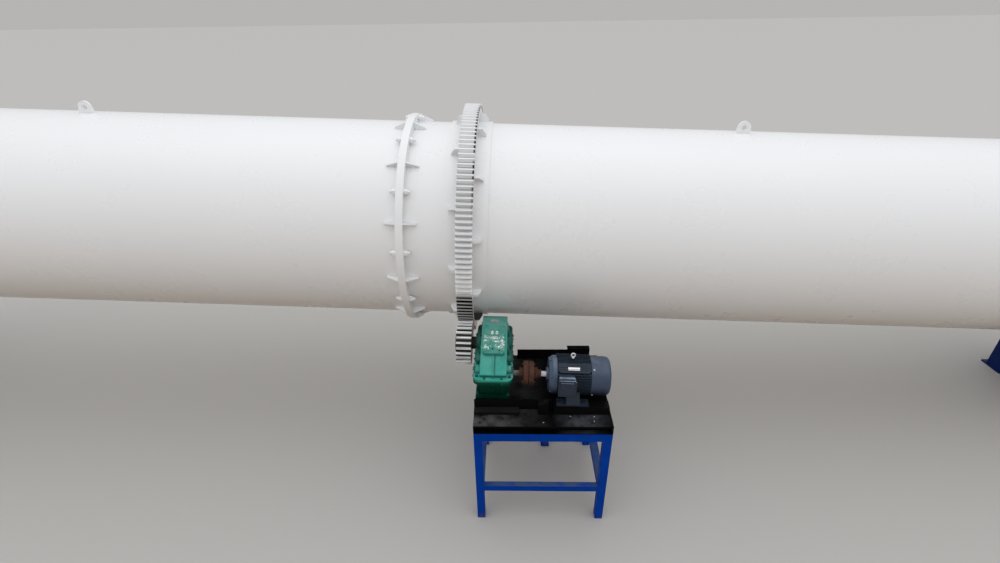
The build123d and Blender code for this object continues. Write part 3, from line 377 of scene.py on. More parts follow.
# the drum's white and the table's blue, which several looks share
whiteBase = {
    "colour": (0.80, 0.805, 0.81), "tone": (0.79, 0.795, 0.80), "toneScale": 1.1,
    "roughness": 0.26, "roughSpread": 0.05, "grain": 90.0, "grainDepth": 0.00002,
}
blueBase = {
    "colour": (0.0002, 0.036, 0.275), "tone": (0.0004, 0.044, 0.325), "toneScale": 6.0, "shine": 0.03,
    "roughness": 0.38, "grainDepth": 0.0006,
}
paintLooks = {
    "drumWhite": whiteBase,
    "bracketWhite": {
        **whiteBase,
        # painted shadow: the gear brackets' lowest ends are dark where the drum's underside shades them
        "bareAndShadow": (0.035, 0.034, 0.032), "bareZone": (2, 1.32, 1.24),
        "bareScale": 9.0, "bareSpread": (0.15, 0.40),
    },
    "shellWhite": {
        **whiteBase,
        "inside": (0.16, 0.13, 0.11), "insideRadius": (0.744, 0.742),
    },
    "ringWhite": {
        "colour": (0.79, 0.795, 0.80), "tone": (0.76, 0.765, 0.77), "toneScale": 2.0,
        "rim": (0.42, 0.42, 0.41), "rimRadius": (0.828, 0.829),
        "roughness": 0.28, "roughSpread": 0.14, "grain": 90.0, "grainDepth": 0.0003,
    },
    "flightSteel": {
        "colour": (0.17, 0.14, 0.12), "tone": (0.12, 0.085, 0.06), "toneScale": 5.0,
        "roughness": 0.6, "grainDepth": 0.0006,
    },
    "tableBlue": {
        **blueBase,
        "dust": (0.050, 0.10, 0.25), "dustScale": 9.0, "dustLow": 0.45, "dustHigh": 0.8,
        "chip": (0.05, 0.032, 0.025), "chipScale": 34.0, "chipLow": 0.745,
        "bareAndShadow": (0.085, 0.040, 0.024), "bareZone": (2, 0.055, 0.0),
        "bareScale": 22.0, "bareSpread": (0.45, 0.7),
    },
    "railBlue": {
        **blueBase,
        "dust": (0.060, 0.095, 0.200), "dustScale": 9.0, "dustLow": 0.20, "dustHigh": 0.55,
        "chip": (0.20, 0.13, 0.09), "chipScale": 40.0, "chipLow": 0.72,
    },
    "supportBlue": {
        "colour": (0.0006, 0.011, 0.078), "tone": (0.001, 0.015, 0.10), "toneScale": 4.0, "shine": 0.12,
        "dust": (0.06, 0.08, 0.12), "dustScale": 8.0, "dustLow": 0.45, "dustHigh": 0.9,
        "roughness": 0.42, "grainDepth": 0.0006,
    },
    "platformBlack": {
        "colour": (0.0020, 0.0020, 0.0022), "tone": (0.003, 0.003, 0.0034), "toneScale": 9.0, "shine": 0.02,
        "dust": (0.125, 0.123, 0.125), "dustScale": 7.0, "dustLow": 0.32, "dustHigh": 0.72,
        # dust on the platform thins out towards the motor end; partly real dust, partly painted shade there
        "dustAndShadeZones": ((0, 1.02, 0.42), (2, 0.905, 0.912)),
        "spot": (0.055, 0.059, 0.068), "spotAt": (1.21, -1.07, 0.918), "spotRadius": (0.20, 0.04),
        "scuff": (0.060, 0.072, 0.078), "scuffScale": (9.0, 9.0, 60.0),
        "scuffZones": ((2, 0.884, 0.890), (2, 0.903, 0.898), (0, 0.66, 0.80)),
        "roughness": 0.45, "grainDepth": 0.0006,
    },
    "railBlack": {
        "colour": (0.0022, 0.0022, 0.0024), "tone": (0.004, 0.004, 0.0044), "toneScale": 9.0, "shine": 0.07,
        "dust": (0.016, 0.016, 0.016), "dustScale": 12.0, "dustLow": 0.50, "dustHigh": 0.75,
        "roughness": 0.5, "grainDepth": 0.0006,
    },
    "padGreen": {
        "colour": (0.030, 0.235, 0.185), "tone": (0.022, 0.185, 0.142), "toneScale": 12.0, "shine": 0.4,
        "dust": (0.11, 0.30, 0.25), "dustScale": 14.0, "dustLow": 0.4, "dustHigh": 0.8,
        "roughness": 0.36, "grainDepth": 0.0009, "grain": 120.0,
    },
    "gearboxGreen": {
        "colour": (0.024, 0.288, 0.232), "tone": (0.018, 0.235, 0.185), "toneScale": 12.0, "shine": 0.3,
        "dust": (0.10, 0.34, 0.28), "dustScale": 14.0, "dustLow": 0.4, "dustHigh": 0.8,
        "chip": (0.55, 0.56, 0.52), "chipScale": 55.0, "chipLow": 0.775,
        # painted shade: dark green on the gearbox's faces that look along the drum
        "side": (0.005, 0.066, 0.048),
        # painted shade on the lower part of the split flange's rim
        "lipShade": (0.001, 0.095, 0.058), "lipShadeZones": ((2, 1.1510, 1.1475),),
        # painted shade in the crease where the cover's nose meets the split flange
        "foot": (0.008, 0.100, 0.072), "footZones": ((2, 1.1850, 1.1680), (2, 1.1600, 1.1610)),
        "wipe": (0.135, 0.245, 0.225), "wipeZones": ((2, 1.300, 1.328),), "wipeScale": (3.0, 26.0, 26.0),
        # painted shade on the bearing bosses at both sides of the gearbox
        "bossShade": (0.008, 0.105, 0.078), "bossFrom": (0.088, 0.094), "bossFront": (1, -0.800, -0.765),
        # painted shadow of the nose's rib, a dark line along its right side
        "ribShadow": (0.010, 0.115, 0.085), "ribShadowAt": 0.657, "ribShadowWidth": 0.0085,
        "ribShadowZones": ((2, 1.160, 1.170), (1, -0.80, -0.82)),
        "roughness": 0.34, "grainDepth": 0.0009, "grain": 120.0,
    },
    "gearboxShade": {
        "colour": (0.008, 0.105, 0.078), "tone": (0.005, 0.075, 0.054), "toneScale": 14.0, "shine": 0.4,
        "roughness": 0.36, "grainDepth": 0.0009, "grain": 120.0,
    },
    # the gearbox base: its green darkened as painted shade under the split flange, with lighter chips
    "gearboxBaseShade": {
        "colour": (0.0012, 0.050, 0.028), "tone": (0.0010, 0.032, 0.018), "toneScale": 10.0, "shine": 0.12,
        "chip": (0.010, 0.13, 0.09), "chipScale": 26.0, "chipLow": 0.63,
        "roughness": 0.42, "grainDepth": 0.0009, "grain": 120.0,
    },
    "motorBlue": {
        "colour": (0.044, 0.064, 0.108), "tone": (0.036, 0.053, 0.090), "toneScale": 14.0, "shine": 0.28,
        "dust": (0.105, 0.130, 0.180), "dustScale": 18.0, "dustLow": 0.25, "dustHigh": 0.8,
        # painted shade on the faces that look downward
        "under": (0.006, 0.009, 0.015), "underFacing": (0.12, -0.55),
        "roughness": 0.36, "grainDepth": 0.0006,
    },
    "motorShield": {
        "colour": (0.064, 0.092, 0.145), "tone": (0.050, 0.073, 0.118), "toneScale": 14.0, "shine": 0.35,
        "dust": (0.115, 0.145, 0.200), "dustScale": 18.0, "dustLow": 0.20, "dustHigh": 0.7,
        # painted shade on the faces that look downward
        "under": (0.008, 0.012, 0.020), "underFacing": (0.12, -0.55),
        "roughness": 0.34, "grainDepth": 0.0006,
    },
    "motorBox": {
        "colour": (0.020, 0.031, 0.050), "tone": (0.016, 0.025, 0.041), "toneScale": 14.0, "shine": 0.3,
        "dust": (0.200, 0.250, 0.340), "dustScale": 18.0, "dustLow": 0.10, "dustHigh": 0.55,
        # painted shade on the faces that look downward
        "under": (0.008, 0.012, 0.020),
        "roughness": 0.36, "grainDepth": 0.0006,
    },
    "motorNavy": {
        "colour": (0.016, 0.027, 0.044), "tone": (0.011, 0.019, 0.032), "toneScale": 14.0, "shine": 0.35,
        "dust": (0.030, 0.042, 0.060), "dustScale": 18.0, "dustLow": 0.40, "dustHigh": 0.85,
        # painted shade on the faces that look downward
        "under": (0.008, 0.011, 0.018),
        # painted shade between the motor's fins
        "gap": (0.0030, 0.0042, 0.0065), "gapRadius": (0.126, 0.114),
        "roughness": 0.36, "grainDepth": 0.0006,
    },
    "rustyIron": {
        "colour": (0.080, 0.034, 0.023), "tone": (0.042, 0.018, 0.014), "toneScale": 38.0, "shine": 0.2,
        "chip": (0.14, 0.055, 0.030), "chipScale": 60.0, "chipLow": 0.6,
        # painted shade on the coupling's faces that look downward
        "under": (0.014, 0.007, 0.006), "underFacing": (0.15, -0.70),
        "roughness": 0.75, "grainDepth": 0.0015, "grain": 220.0,
    },
    "bearingGrey": {
        "colour": (0.12, 0.13, 0.14), "tone": (0.09, 0.10, 0.11), "toneScale": 8.0,
        "dust": (0.25, 0.24, 0.22), "dustScale": 10.0, "dustLow": 0.45, "dustHigh": 0.8,
        "roughness": 0.5, "grainDepth": 0.0008,
    },
}

print("stage: finishes")
finishes = {name: paint(name, look) for name, look in paintLooks.items()}

# what all steel has
steelBasics = {"stainDetail": 5.0, "roughSpread": 0.25, "grain": 260.0, "grainDepth": 0.0003}


def bareSteel(name, look):
    material, tree, shader, place = startMaterial(name)
    stain = patches(tree, place, look["stainScale"], *look["stainSpread"], detail=steelBasics["stainDetail"])
    tree.links.new(mixed(tree, stain, look["colour"], look["stain"]), shader.inputs["Base Color"])
    shader.inputs["Metallic"].default_value = look["metallic"]
    roughened(tree, shader, stain, look["roughness"], look["roughness"] + steelBasics["roughSpread"])
    grained(tree, shader, place, steelBasics["grain"], steelBasics["grainDepth"])
    return material


steelLooks = {
    "wornSteel": {
        "colour": (0.17, 0.165, 0.17), "stain": (0.05, 0.045, 0.045), "stainScale": 45.0,
        "stainSpread": (0.4, 0.7), "metallic": 0.5, "roughness": 0.35,
    },
    "shaftSteel": {
        "colour": (0.68, 0.69, 0.74), "stain": (0.32, 0.31, 0.32), "stainScale": 45.0,
        "stainSpread": (0.5, 0.8), "metallic": 0.4, "roughness": 0.28,
    },
    # output shaft: greasy steel, darkened further as painted shade beside the gearbox's shaded side
    "greasyShadedSteel": {
        "colour": (0.035, 0.038, 0.036), "stain": (0.012, 0.013, 0.012), "stainScale": 45.0,
        "stainSpread": (0.4, 0.7), "metallic": 0.2, "roughness": 0.50,
    },
    "rollerSteel": {
        "colour": (0.40, 0.40, 0.40), "stain": (0.20, 0.14, 0.10), "stainScale": 12.0,
        "stainSpread": (0.5, 0.8), "metallic": 0.7, "roughness": 0.38,
    },
    "boltZinc": {
        "colour": (0.55, 0.55, 0.53), "stain": (0.22, 0.20, 0.17), "stainScale": 90.0,
        "stainSpread": (0.5, 0.8), "metallic": 0.5, "roughness": 0.35,
    },
    "brightSteel": {
        "colour": (0.80, 0.80, 0.79), "stain": (0.50, 0.49, 0.47), "stainScale": 90.0,
        "stainSpread": (0.5, 0.8), "metallic": 0.25, "roughness": 0.30,
    },
    "plateMetal": {
        "colour": (0.83, 0.83, 0.85), "stain": (0.68, 0.68, 0.70), "stainScale": 60.0,
        "stainSpread": (0.5, 0.8), "metallic": 0.0, "roughness": 0.35,
    },
    "dustyPlate": {
        "colour": (0.36, 0.33, 0.33), "stain": (0.22, 0.18, 0.18), "stainScale": 60.0,
        "stainSpread": (0.4, 0.7), "metallic": 0.0, "roughness": 0.45,
    },
    "boltDark": {
        "colour": (0.012, 0.012, 0.012), "stain": (0.030, 0.022, 0.018), "stainScale": 90.0,
        "stainSpread": (0.5, 0.8), "metallic": 0.3, "roughness": 0.5,
    },
    # painted shade: black discs that stand for the dark insides of holes
    "holeShade": {
        "colour": (0.0015, 0.0015, 0.0015), "stain": (0.003, 0.003, 0.003), "stainScale": 90.0,
        "stainSpread": (0.5, 0.8), "metallic": 0.0, "roughness": 0.95,
    },
}
finishes.update({name: bareSteel(name, look) for name, look in steelLooks.items()})

# girth gear: white sides, teeth worn bare on their flanks; painted shade in the tooth gaps, darker still at
# the tooth roots
gearFinish = {
    "white": (0.78, 0.785, 0.79),
    "teethFrom": (0.8575, 0.8615),
    "shaded": (0.77, 0.775, 0.78),
    "gapFrom": (0.886, 0.881),
    "rootShade": (0.42, 0.425, 0.43),
    "rootFrom": (0.8650, 0.8620),
    "grease": (0.020, 0.019, 0.018),
    "greaseFrom": (0.4715, 0.4775),
    "greaseScale": 9.0,
    "greaseSpread": (0.40, 0.50),
    "greaseHeight": (2, 2.05, 2.32),
    "worn": (0.55, 0.55, 0.54),
    "meshAngle": 218.2,
    "rolledFrom": (0.790, 0.812),
    "rolledMetal": 0.8,
    "roughness": 0.33, "grain": 150.0, "grainDepth": 0.0004,
}


def gearMaterial(look):
    material, tree, shader, place = startMaterial("girthGear")
    centre = drumPoint(0)
    radius = fromLine(tree, place, centre)
    gap = ramped(tree, radius, *look["gapFrom"])
    teeth = ramped(tree, radius, *look["teethFrom"])
    colour = mixed(tree, times(tree, teeth, gap), look["white"], look["shaded"])
    # painted shade: a dark line at the roots of the teeth, under each tooth
    rootShade = ramped(tree, radius, *look["rootFrom"])
    colour = mixed(tree, times(tree, teeth, rootShade), colour, look["rootShade"])
    # grease pushed out to the ends of the tooth gaps
    end = ramped(tree, reachAlong(tree, place, centre, along), *look["greaseFrom"])
    greasy = patches(tree, place, look["greaseScale"], *look["greaseSpread"])
    greasy = within(tree, place, times(tree, times(tree, end, gap), greasy), (look["greaseHeight"],))
    colour = mixed(tree, times(tree, greasy, teeth), colour, look["grease"])
    # the stretch that the pinion has just rolled over is bare and black
    near = reachAlong(tree, place, centre, outwards(look["meshAngle"]))
    rolled = times(tree, ramped(tree, near, *look["rolledFrom"]), teeth)
    colour = mixed(tree, rolled, colour, mixed(tree, gap, look["worn"], look["grease"]))
    tree.links.new(colour, shader.inputs["Base Color"])
    tree.links.new(times(tree, rolled, look["rolledMetal"]), shader.inputs["Metallic"])
    shader.inputs["Roughness"].default_value = look["roughness"]
    grained(tree, shader, place, look["grain"], look["grainDepth"])
    return material


finishes["girthGear"] = gearMaterial(gearFinish)

# bare strip in front of the gearbox: worn steel with lines along it
stripFinish = {
    "light": (0.0125, 0.0135, 0.015),
    "dark": (0.0040, 0.0040, 0.0045),
    "front": -1.042,
    "pitch": 0.0173,
    "lineFrom": 0.12, "lineTo": 0.3,
    "smearScale": (6.0, 40.0, 40.0), "smearSpread": (0.25, 0.6),
    "roughness": 0.6, "shine": 0.2, "grain": 200.0, "grainDepth": 0.0004,
}


def stripMaterial(look):
    material, tree, shader, place = startMaterial("stripGrey")
    across = reachAlong(tree, place, Vector((0, look["front"], 0)), backward)
    wave = mathStep(tree, "PINGPONG", across, look["pitch"] / 2)
    lines = ramped(tree, wave, look["pitch"] * look["lineFrom"], look["pitch"] * look["lineTo"])
    smear = patches(tree, stretched(tree, place, look["smearScale"]), 1.0, *look["smearSpread"])
    colour = mixed(tree, times(tree, lines, smear), look["dark"], look["light"])
    tree.links.new(colour, shader.inputs["Base Color"])
    shader.inputs["Roughness"].default_value = look["roughness"]
    shader.inputs["Specular IOR Level"].default_value = look["shine"]
    grained(tree, shader, place, look["grain"], look["grainDepth"])
    return material


finishes["stripGrey"] = stripMaterial(stripFinish)

# pinion: bright tooth tops and black greasy gaps
pinionFinish = {
    "place": (0.4315, -0.80627, -0.63452),
    "brightFrom": (0.143, 0.155),
    "bright": (0.86, 0.86, 0.86),
    "grease": (0.012, 0.011, 0.010),
    "smearScale": (3.0, 40.0, 40.0), "smearSpread": (0.72, 0.50), "smearDetail": 3.0,
    "metallic": 0.35, "roughness": 0.30, "grain": 260.0, "grainDepth": 0.0002,
}


def pinionMaterial(look):
    material, tree, shader, place = startMaterial("pinionSteel")
    tops = ramped(tree, fromLine(tree, place, drumPoint(*look["place"])), *look["brightFrom"])
    smear = patches(tree, stretched(tree, place, look["smearScale"]), 1.0, *look["smearSpread"],
                    detail=look["smearDetail"])
    bright = times(tree, tops, smear)
    tree.links.new(mixed(tree, bright, look["grease"], look["bright"]), shader.inputs["Base Color"])
    tree.links.new(times(tree, bright, look["metallic"]), shader.inputs["Metallic"])
    shader.inputs["Roughness"].default_value = look["roughness"]
    grained(tree, shader, place, look["grain"], look["grainDepth"])
    return material


finishes["pinionSteel"] = pinionMaterial(pinionFinish)

# which finish each piece of the frame takes, by the start of its name; the first that fits holds
finishOf = {
    "shellWhite": ("shell_",),
    "flightSteel": ("flights_",),
    "ringWhite": ("riding_",),
    "bracketWhite": ("gear_brackets_right",),
    "drumWhite": ("flange_", "gear_b", "ring_seat", "lifting", "end_ring"),
    "girthGear": ("girth_gear",),
    "pinionSteel": ("pinion",),
    "greasyShadedSteel": ("output_shaft",),
    "shaftSteel": ("motor_shaft",),
    "rustyIron": ("coupling_",),
    "gearboxBaseShade": ("gearbox_base",),
    "gearboxShade": ("gearbox_bearing",),
    "stripGrey": ("front_strip",),
    "railBlack": ("front_", "rear_", "stop_", "motor_packing"),
    "platformBlack": ("gearbox_seat", "platform_"),
    "gearboxGreen": ("gearbox_",),
    "motorNavy": ("motor_body",),
    "motorBox": ("motor_terminal",),
    "motorShield": ("motor_end_shield",),
    "motorBlue": ("motor_",),
    "railBlue": ("table_low",),
    "tableBlue": ("table_",),
    "wornSteel": ("input_shaft",),
    "rollerSteel": ("support_rollers", "thrust_rollers"),
    "bearingGrey": ("roller_bearings",),
    "supportBlue": ("support_", "roller_bed"),
}
for nodeName, piece in nodes.items():
    for finishName, starts in finishOf.items():
        if nodeName.startswith(starts):
            for slot in piece.material_slots:
                slot.material = finishes[finishName]
            break


# radii and heights of a bolt, named as the tree's inputs are
def boltSize(head, height, washer, washerHeight, stud=0.001, studLength=0.0002):
    return {
        "Head Radius": head,
        "Head Height": height,
        "Washer Radius": washer,
        "Washer Height": washerHeight,
        "Stud Radius": stud,
        "Stud Length": studLength,
    }


boltSides = {"washer": 16, "head": 6, "stud": 10}


# hexagon bolts by Geometry Nodes: one at each point, turned to its facing
def boltTree():
    tree = bpy.data.node_groups.new("hexBolts", "GeometryNodeTree")
    face = tree.interface
    face.new_socket("Geometry", in_out="INPUT", socket_type="NodeSocketGeometry")
    for label, value in boltSize(0.01, 0.007, 0.012, 0.002).items():
        face.new_socket(label, in_out="INPUT", socket_type="NodeSocketFloat").default_value = value
    face.new_socket("Finish", in_out="INPUT", socket_type="NodeSocketMaterial")
    face.new_socket("Geometry", in_out="OUTPUT", socket_type="NodeSocketGeometry")
    make = tree.nodes.new
    link = tree.links.new
    given = make("NodeGroupInput").outputs
    result = make("NodeGroupOutput").inputs
    join = make("GeometryNodeJoinGeometry")

    def disc(sides, radius, height, start):
        cylinder = make("GeometryNodeMeshCylinder")
        cylinder.inputs["Vertices"].default_value = sides
        link(radius, cylinder.inputs["Radius"])
        link(height, cylinder.inputs["Depth"])
        lift = make("ShaderNodeCombineXYZ")
        link(mathStep(tree, "MULTIPLY_ADD", height, 0.5, start), lift.inputs["Z"])
        move = make("GeometryNodeTransform")
        link(cylinder.outputs["Mesh"], move.inputs["Geometry"])
        link(lift.outputs[0], move.inputs["Translation"])
        link(move.outputs[0], join.inputs[0])

    disc(boltSides["washer"], given["Washer Radius"], given["Washer Height"], 0.0)
    disc(boltSides["head"], given["Head Radius"], given["Head Height"], given["Washer Height"])
    top = mathStep(tree, "ADD", given["Washer Height"], given["Head Height"])
    disc(boltSides["stud"], given["Stud Radius"], given["Stud Length"], top)
    place = make("GeometryNodeInstanceOnPoints")
    link(given["Geometry"], place.inputs["Points"])
    link(join.outputs[0], place.inputs["Instance"])
    facing = make("GeometryNodeInputNamedAttribute")
    facing.data_type = "FLOAT_VECTOR"
    facing.inputs["Name"].default_value = "facing"
    turn = make("FunctionNodeAlignRotationToVector")
    turn.axis = "Z"
    link(facing.outputs["Attribute"], turn.inputs["Vector"])
    link(turn.outputs["Rotation"], place.inputs["Rotation"])
    realize = make("GeometryNodeRealizeInstances")
    link(place.outputs[0], realize.inputs[0])
    finish = make("GeometryNodeSetMaterial")
    link(realize.outputs[0], finish.inputs["Geometry"])
    link(given["Finish"], finish.inputs["Material"])
    link(finish.outputs[0], result["Geometry"])
    return tree


boltMaker = boltTree()


# the identifier by which a modifier knows the tree's input
def socketId(tree, label):
    for item in tree.interface.items_tree:
        if item.in_out == "INPUT" and item.name == label:
            return item.identifier


def plainMesh(piece):
    evaluated = piece.evaluated_get(bpy.context.evaluated_depsgraph_get())
    mesh = bpy.data.meshes.new_from_object(evaluated)
    piece.modifiers.clear()
    piece.data = mesh


# one mesh of bolts, from pairs of a place and the way the bolt faces
def bolts(name, points, size, finishName, body):
    mesh = bpy.data.meshes.new(name)
    mesh.from_pydata([tuple(place) for place, facing in points], [], [])
    attribute = mesh.attributes.new("facing", "FLOAT_VECTOR", "POINT")
    for index, (place, facing) in enumerate(points):
        attribute.data[index].vector = facing
    piece = addObject(name, mesh)
    modifier = piece.modifiers.new("bolts", "NODES")
    modifier.node_group = boltMaker
    for label, value in {**size, "Finish": finishes[finishName]}.items():
        modifier[socketId(boltMaker, label)] = value
    plainMesh(piece)
    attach(piece, body)


# places round a shaft, on a face that looks along it
def boltCircle(distance, side, up, circle, direction):
    points = []
    for index in range(circle["count"]):
        out = outwards(circle["first"] + index * 360 / circle["count"])
        points.append((drumPoint(distance, side, up) + out * circle["radius"], along * direction))
    return points


print("stage: bolts on the drum and the gearbox")
flangeBolts = {
    "radius": 0.780, "halfThickness": 0.025, "first": 175.5, "count": 12,
    "size": boltSize(0.020, 0.021, 0.023, 0.004, 0.012, 0.018),
}
points = []
for index in range(flangeBolts["count"]):
    out = outwards(flangeBolts["first"] - index * 360 / flangeBolts["count"])
    for direction in (-1, 1):
        spot = drumPoint(direction * flangeBolts["halfThickness"]) + out * flangeBolts["radius"]
        points.append((spot, along * direction))
bolts("flangeBolts", points, flangeBolts["size"], "drumWhite", "drum")

capBolts = {
    "faces": ((0.517, -1), (0.779, 1)),
    "output": {"radius": 0.062, "count": 8, "first": 22.5},
    "middle": {"radius": 0.043, "count": 6, "first": 22.5},
    "input": {"radius": 0.031, "count": 4, "first": 22.5},
    "size": boltSize(0.0065, 0.006, 0.0075, 0.001),
}
points = []
for shaft in ("output", "middle", "input"):
    for distance, direction in capBolts["faces"]:
        points += boltCircle(distance, drive[shaft], drive["up"], capBolts[shaft], direction)
bolts("capBolts", points, capBolts["size"], "gearboxShade", "frame")

# bolts that stand on both sides of the gearbox's middle, each an offset from it and a side
gearboxBolts = {
    "splitBolts": {
        "places": ((0.109, -1.205), (0.109, -1.0713), (0.109, -0.9148), (0.109, -0.660)),
        "up": drive["up"] + 0.020,
        "size": boltSize(0.0095, 0.009, 0.011, 0.002, 0.005, 0.004),
    },
    "splitEndBolts": {
        "places": ((0.056, -1.2293), (0.056, -0.6003)),
        "up": drive["up"] + 0.020,
        "size": boltSize(0.0066, 0.009, 0.0075, 0.002, 0.004, 0.004),
    },
    "gearboxFootBolts": {
        "places": ((0.103, -1.152), (0.103, -1.062), (0.103, -0.905), (0.103, -0.720)),
        "up": drive["seat"] + 0.020,
        "size": boltSize(0.010, 0.009, 0.012, 0.002, 0.006, 0.006),
    },
}
for name, group in gearboxBolts.items():
    points = []
    for offset, side in group["places"]:
        for direction in (-1, 1):
            distance = drive["centre"] + direction * offset
            points.append((drumPoint(distance, side, group["up"]), upward))
    bolts(name, points, group["size"], "gearboxShade", "frame")


# a piece made from a mesh, its edges rounded where asked
def solidPiece(name, mesh, finishName, body, rounding=0.0):
    mesh.materials.append(finishes[finishName])
    piece = addObject(name, mesh)
    if rounding:
        bevel = piece.modifiers.new("rounding", "BEVEL")
        bevel.width = rounding
        bevel.segments = 2
        plainMesh(piece)
    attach(piece, body)
    return piece


def closedMesh(name, shape):
    bmesh.ops.recalc_face_normals(shape, faces=shape.faces)
    mesh = bpy.data.meshes.new(name)
    shape.to_mesh(mesh)
    shape.free()
    return mesh


# faces between two rings of as many corners
def bridge(shape, first, second):
    for index in range(len(first)):
        following = (index + 1) % len(first)
        shape.faces.new((first[index], first[following], second[following], second[index]))


def blockMesh(name, centre, right, rise, out, halfSizes):
    shape = bmesh.new()
    bmesh.ops.create_cube(shape, size=2.0)
    for corner in shape.verts:
        x, y, z = corner.co
        corner.co = centre + right * x * halfSizes[0] + rise * y * halfSizes[1] + out * z * halfSizes[2]
    return closedMesh(name, shape)


# inspection pad on the slope of the gearbox cover, between its output and middle shafts
pad = {
    "slopeRise": 0.048,
    "slopeRun": 0.187,
    "reach": 0.174,
    "thickness": 0.012,
    "top": 0.085,
    "bottom": -0.165,
    "bend": -0.090,
    "bendRadius": 0.150,
    "halfWidth": 0.074,
    "corner": 0.020,
    "cornerPoints": 6,
    "sink": 0.002,
    "rounding": 0.003,
}
print("stage: gearbox pad and plate")
slope = math.asin(pad["slopeRise"] / pad["slopeRun"])
padFacing = upward * math.cos(slope) - backward * math.sin(slope)
padRise = upward * math.sin(slope) + backward * math.cos(slope)
padCentre = drumPoint(drive["centre"], (drive["output"] + drive["middle"]) / 2, drive["up"])
padCentre = padCentre + padFacing * (pad["reach"] + pad["thickness"])


# plate with rounded corners that meets the cover all round, also past its bend
def padMesh(look):
    corner = look["corner"]
    outline = []
    for right, rise, start in (
        (1, look["top"], 0),
        (-1, look["top"], 90),
        (-1, look["bottom"], 180),
        (1, look["bottom"], 270),
    ):
        middleX = right * (look["halfWidth"] - corner)
        middleY = rise - math.copysign(corner, rise)
        for index in range(look["cornerPoints"] + 1):
            turn = math.radians(start + index * 90 / look["cornerPoints"])
            outline.append((middleX + corner * math.cos(turn), middleY + corner * math.sin(turn)))
    shape = bmesh.new()
    tops = []
    lows = []
    for right, rise in outline:
        past = max(0.0, look["bend"] - rise)
        drop = look["bendRadius"] - math.sqrt(look["bendRadius"] ** 2 - past ** 2)
        top = padCentre + along * right + padRise * rise
        tops.append(shape.verts.new(top))
        lows.append(shape.verts.new(top - padFacing * (look["thickness"] + drop + look["sink"])))
    shape.faces.new(tops)
    shape.faces.new(lows[::-1])
    bridge(shape, lows, tops)
    return closedMesh("inspectionPad", shape)


# patches where the pad's paint is gone, each a place on the pad and its half width and half height
padWear = {
    "spots": (
        (-0.004, -0.032, 0.085, 0.026), (-0.060, -0.045, 0.028, 0.055), (0.056, -0.070, 0.024, 0.095),
        (-0.056, -0.112, 0.042, 0.030), (0.010, -0.060, 0.050, 0.020), (0.030, -0.105, 0.040, 0.030),
    ),
    "bareAndShadow": (0.80, 0.79, 0.75),
    "edge": (1.40, 1.34),
    "ragged": 2.30, "raggedScale": 130.0, "raggedSpread": (0.25, 0.75), "raggedDetail": 5.0,
}


def wearPad(material, look):
    tree = material.node_tree
    colour = tree.nodes["Principled BSDF"].inputs["Base Color"]
    green = colour.links[0].from_socket
    place = tree.nodes["Texture Coordinate"].outputs["Object"]
    flat = tree.nodes.new("ShaderNodeCombineXYZ")
    tree.links.new(reachAlong(tree, place, padCentre, along), flat.inputs["X"])
    tree.links.new(reachAlong(tree, place, padCentre, padRise), flat.inputs["Y"])
    nearest = None
    for right, rise, halfWidth, halfHeight in look["spots"]:
        offset = vectorStep(tree, "SUBTRACT", flat.outputs[0], (right, rise, 0))
        scaled = vectorStep(tree, "MULTIPLY", offset, (1 / halfWidth, 1 / halfHeight, 0))
        away = vectorStep(tree, "LENGTH", scaled, result="Value")
        nearest = away if nearest is None else mathStep(tree, "MINIMUM", nearest, away)
    ragged = patches(tree, place, look["raggedScale"], *look["raggedSpread"], detail=look["raggedDetail"])
    worn = ramped(tree, mathStep(tree, "ADD", nearest, times(tree, ragged, look["ragged"])), *look["edge"])
    tree.links.new(mixed(tree, worn, green, look["bareAndShadow"]), colour)


wearPad(finishes["padGreen"], padWear)
inspectionPad = solidPiece("inspectionPad", padMesh(pad), "padGreen", "frame", pad["rounding"])
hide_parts("gearbox_inspection_cover")

# what stands on the pad, each a place to the right and up the slope
padBolts = {
    "padBolts": {
        "places": (
            (-0.062, 0.072), (0.062, 0.072), (-0.062, -0.040), (0.062, -0.040),
            (-0.058, -0.150), (0.058, -0.150),
        ),
        "size": boltSize(0.0055, 0.005, 0.007, 0.001),
        "finish": "gearboxGreen",
    },
    "breatherPlugs": {
        "places": ((-0.016, 0.008), (0.016, 0.008)),
        "size": boltSize(0.0085, 0.014, 0.011, 0.004, 0.004, 0.004),
        "finish": "brightSteel",
    },
    # holes in the pad: black discs of painted shade
    "padHoles": {
        "places": ((-0.008, -0.128), (0.036, -0.136)),
        "size": boltSize(0.001, 0.0001, 0.0065, 0.0004),
        "finish": "holeShade",
    },
}
for name, group in padBolts.items():
    points = [(padCentre + along * right + padRise * rise, padFacing) for right, rise in group["places"]]
    bolts(name, points, group["size"], group["finish"], "frame")

# blank plate on top of the gearbox
gearboxPlate = {
    "up": 0.198,
    "half": (0.029, 0.014, 0.0008),
    "rounding": 0.0005,
}
plateCentre = drumPoint(drive["centre"], drive["output"], drive["up"] + gearboxPlate["up"])
mesh = blockMesh("gearboxPlate", plateCentre, along, backward, upward, gearboxPlate["half"])
solidPiece("gearboxPlate", mesh, "dustyPlate", "frame", gearboxPlate["rounding"])

print("stage: coupling and motor")
couplingBolts = {
    "faces": ((0.850, -1), (0.918, 1)),
    "circle": {"radius": 0.066, "count": 6, "first": 15},
    "size": boltSize(0.008, 0.006, 0.0095, 0.0015, 0.005, 0.003),
}
points = []
for distance, direction in couplingBolts["faces"]:
    points += boltCircle(distance, drive["input"], drive["up"], couplingBolts["circle"], direction)
bolts("couplingBolts", points, couplingBolts["size"], "rustyIron", "coupling")

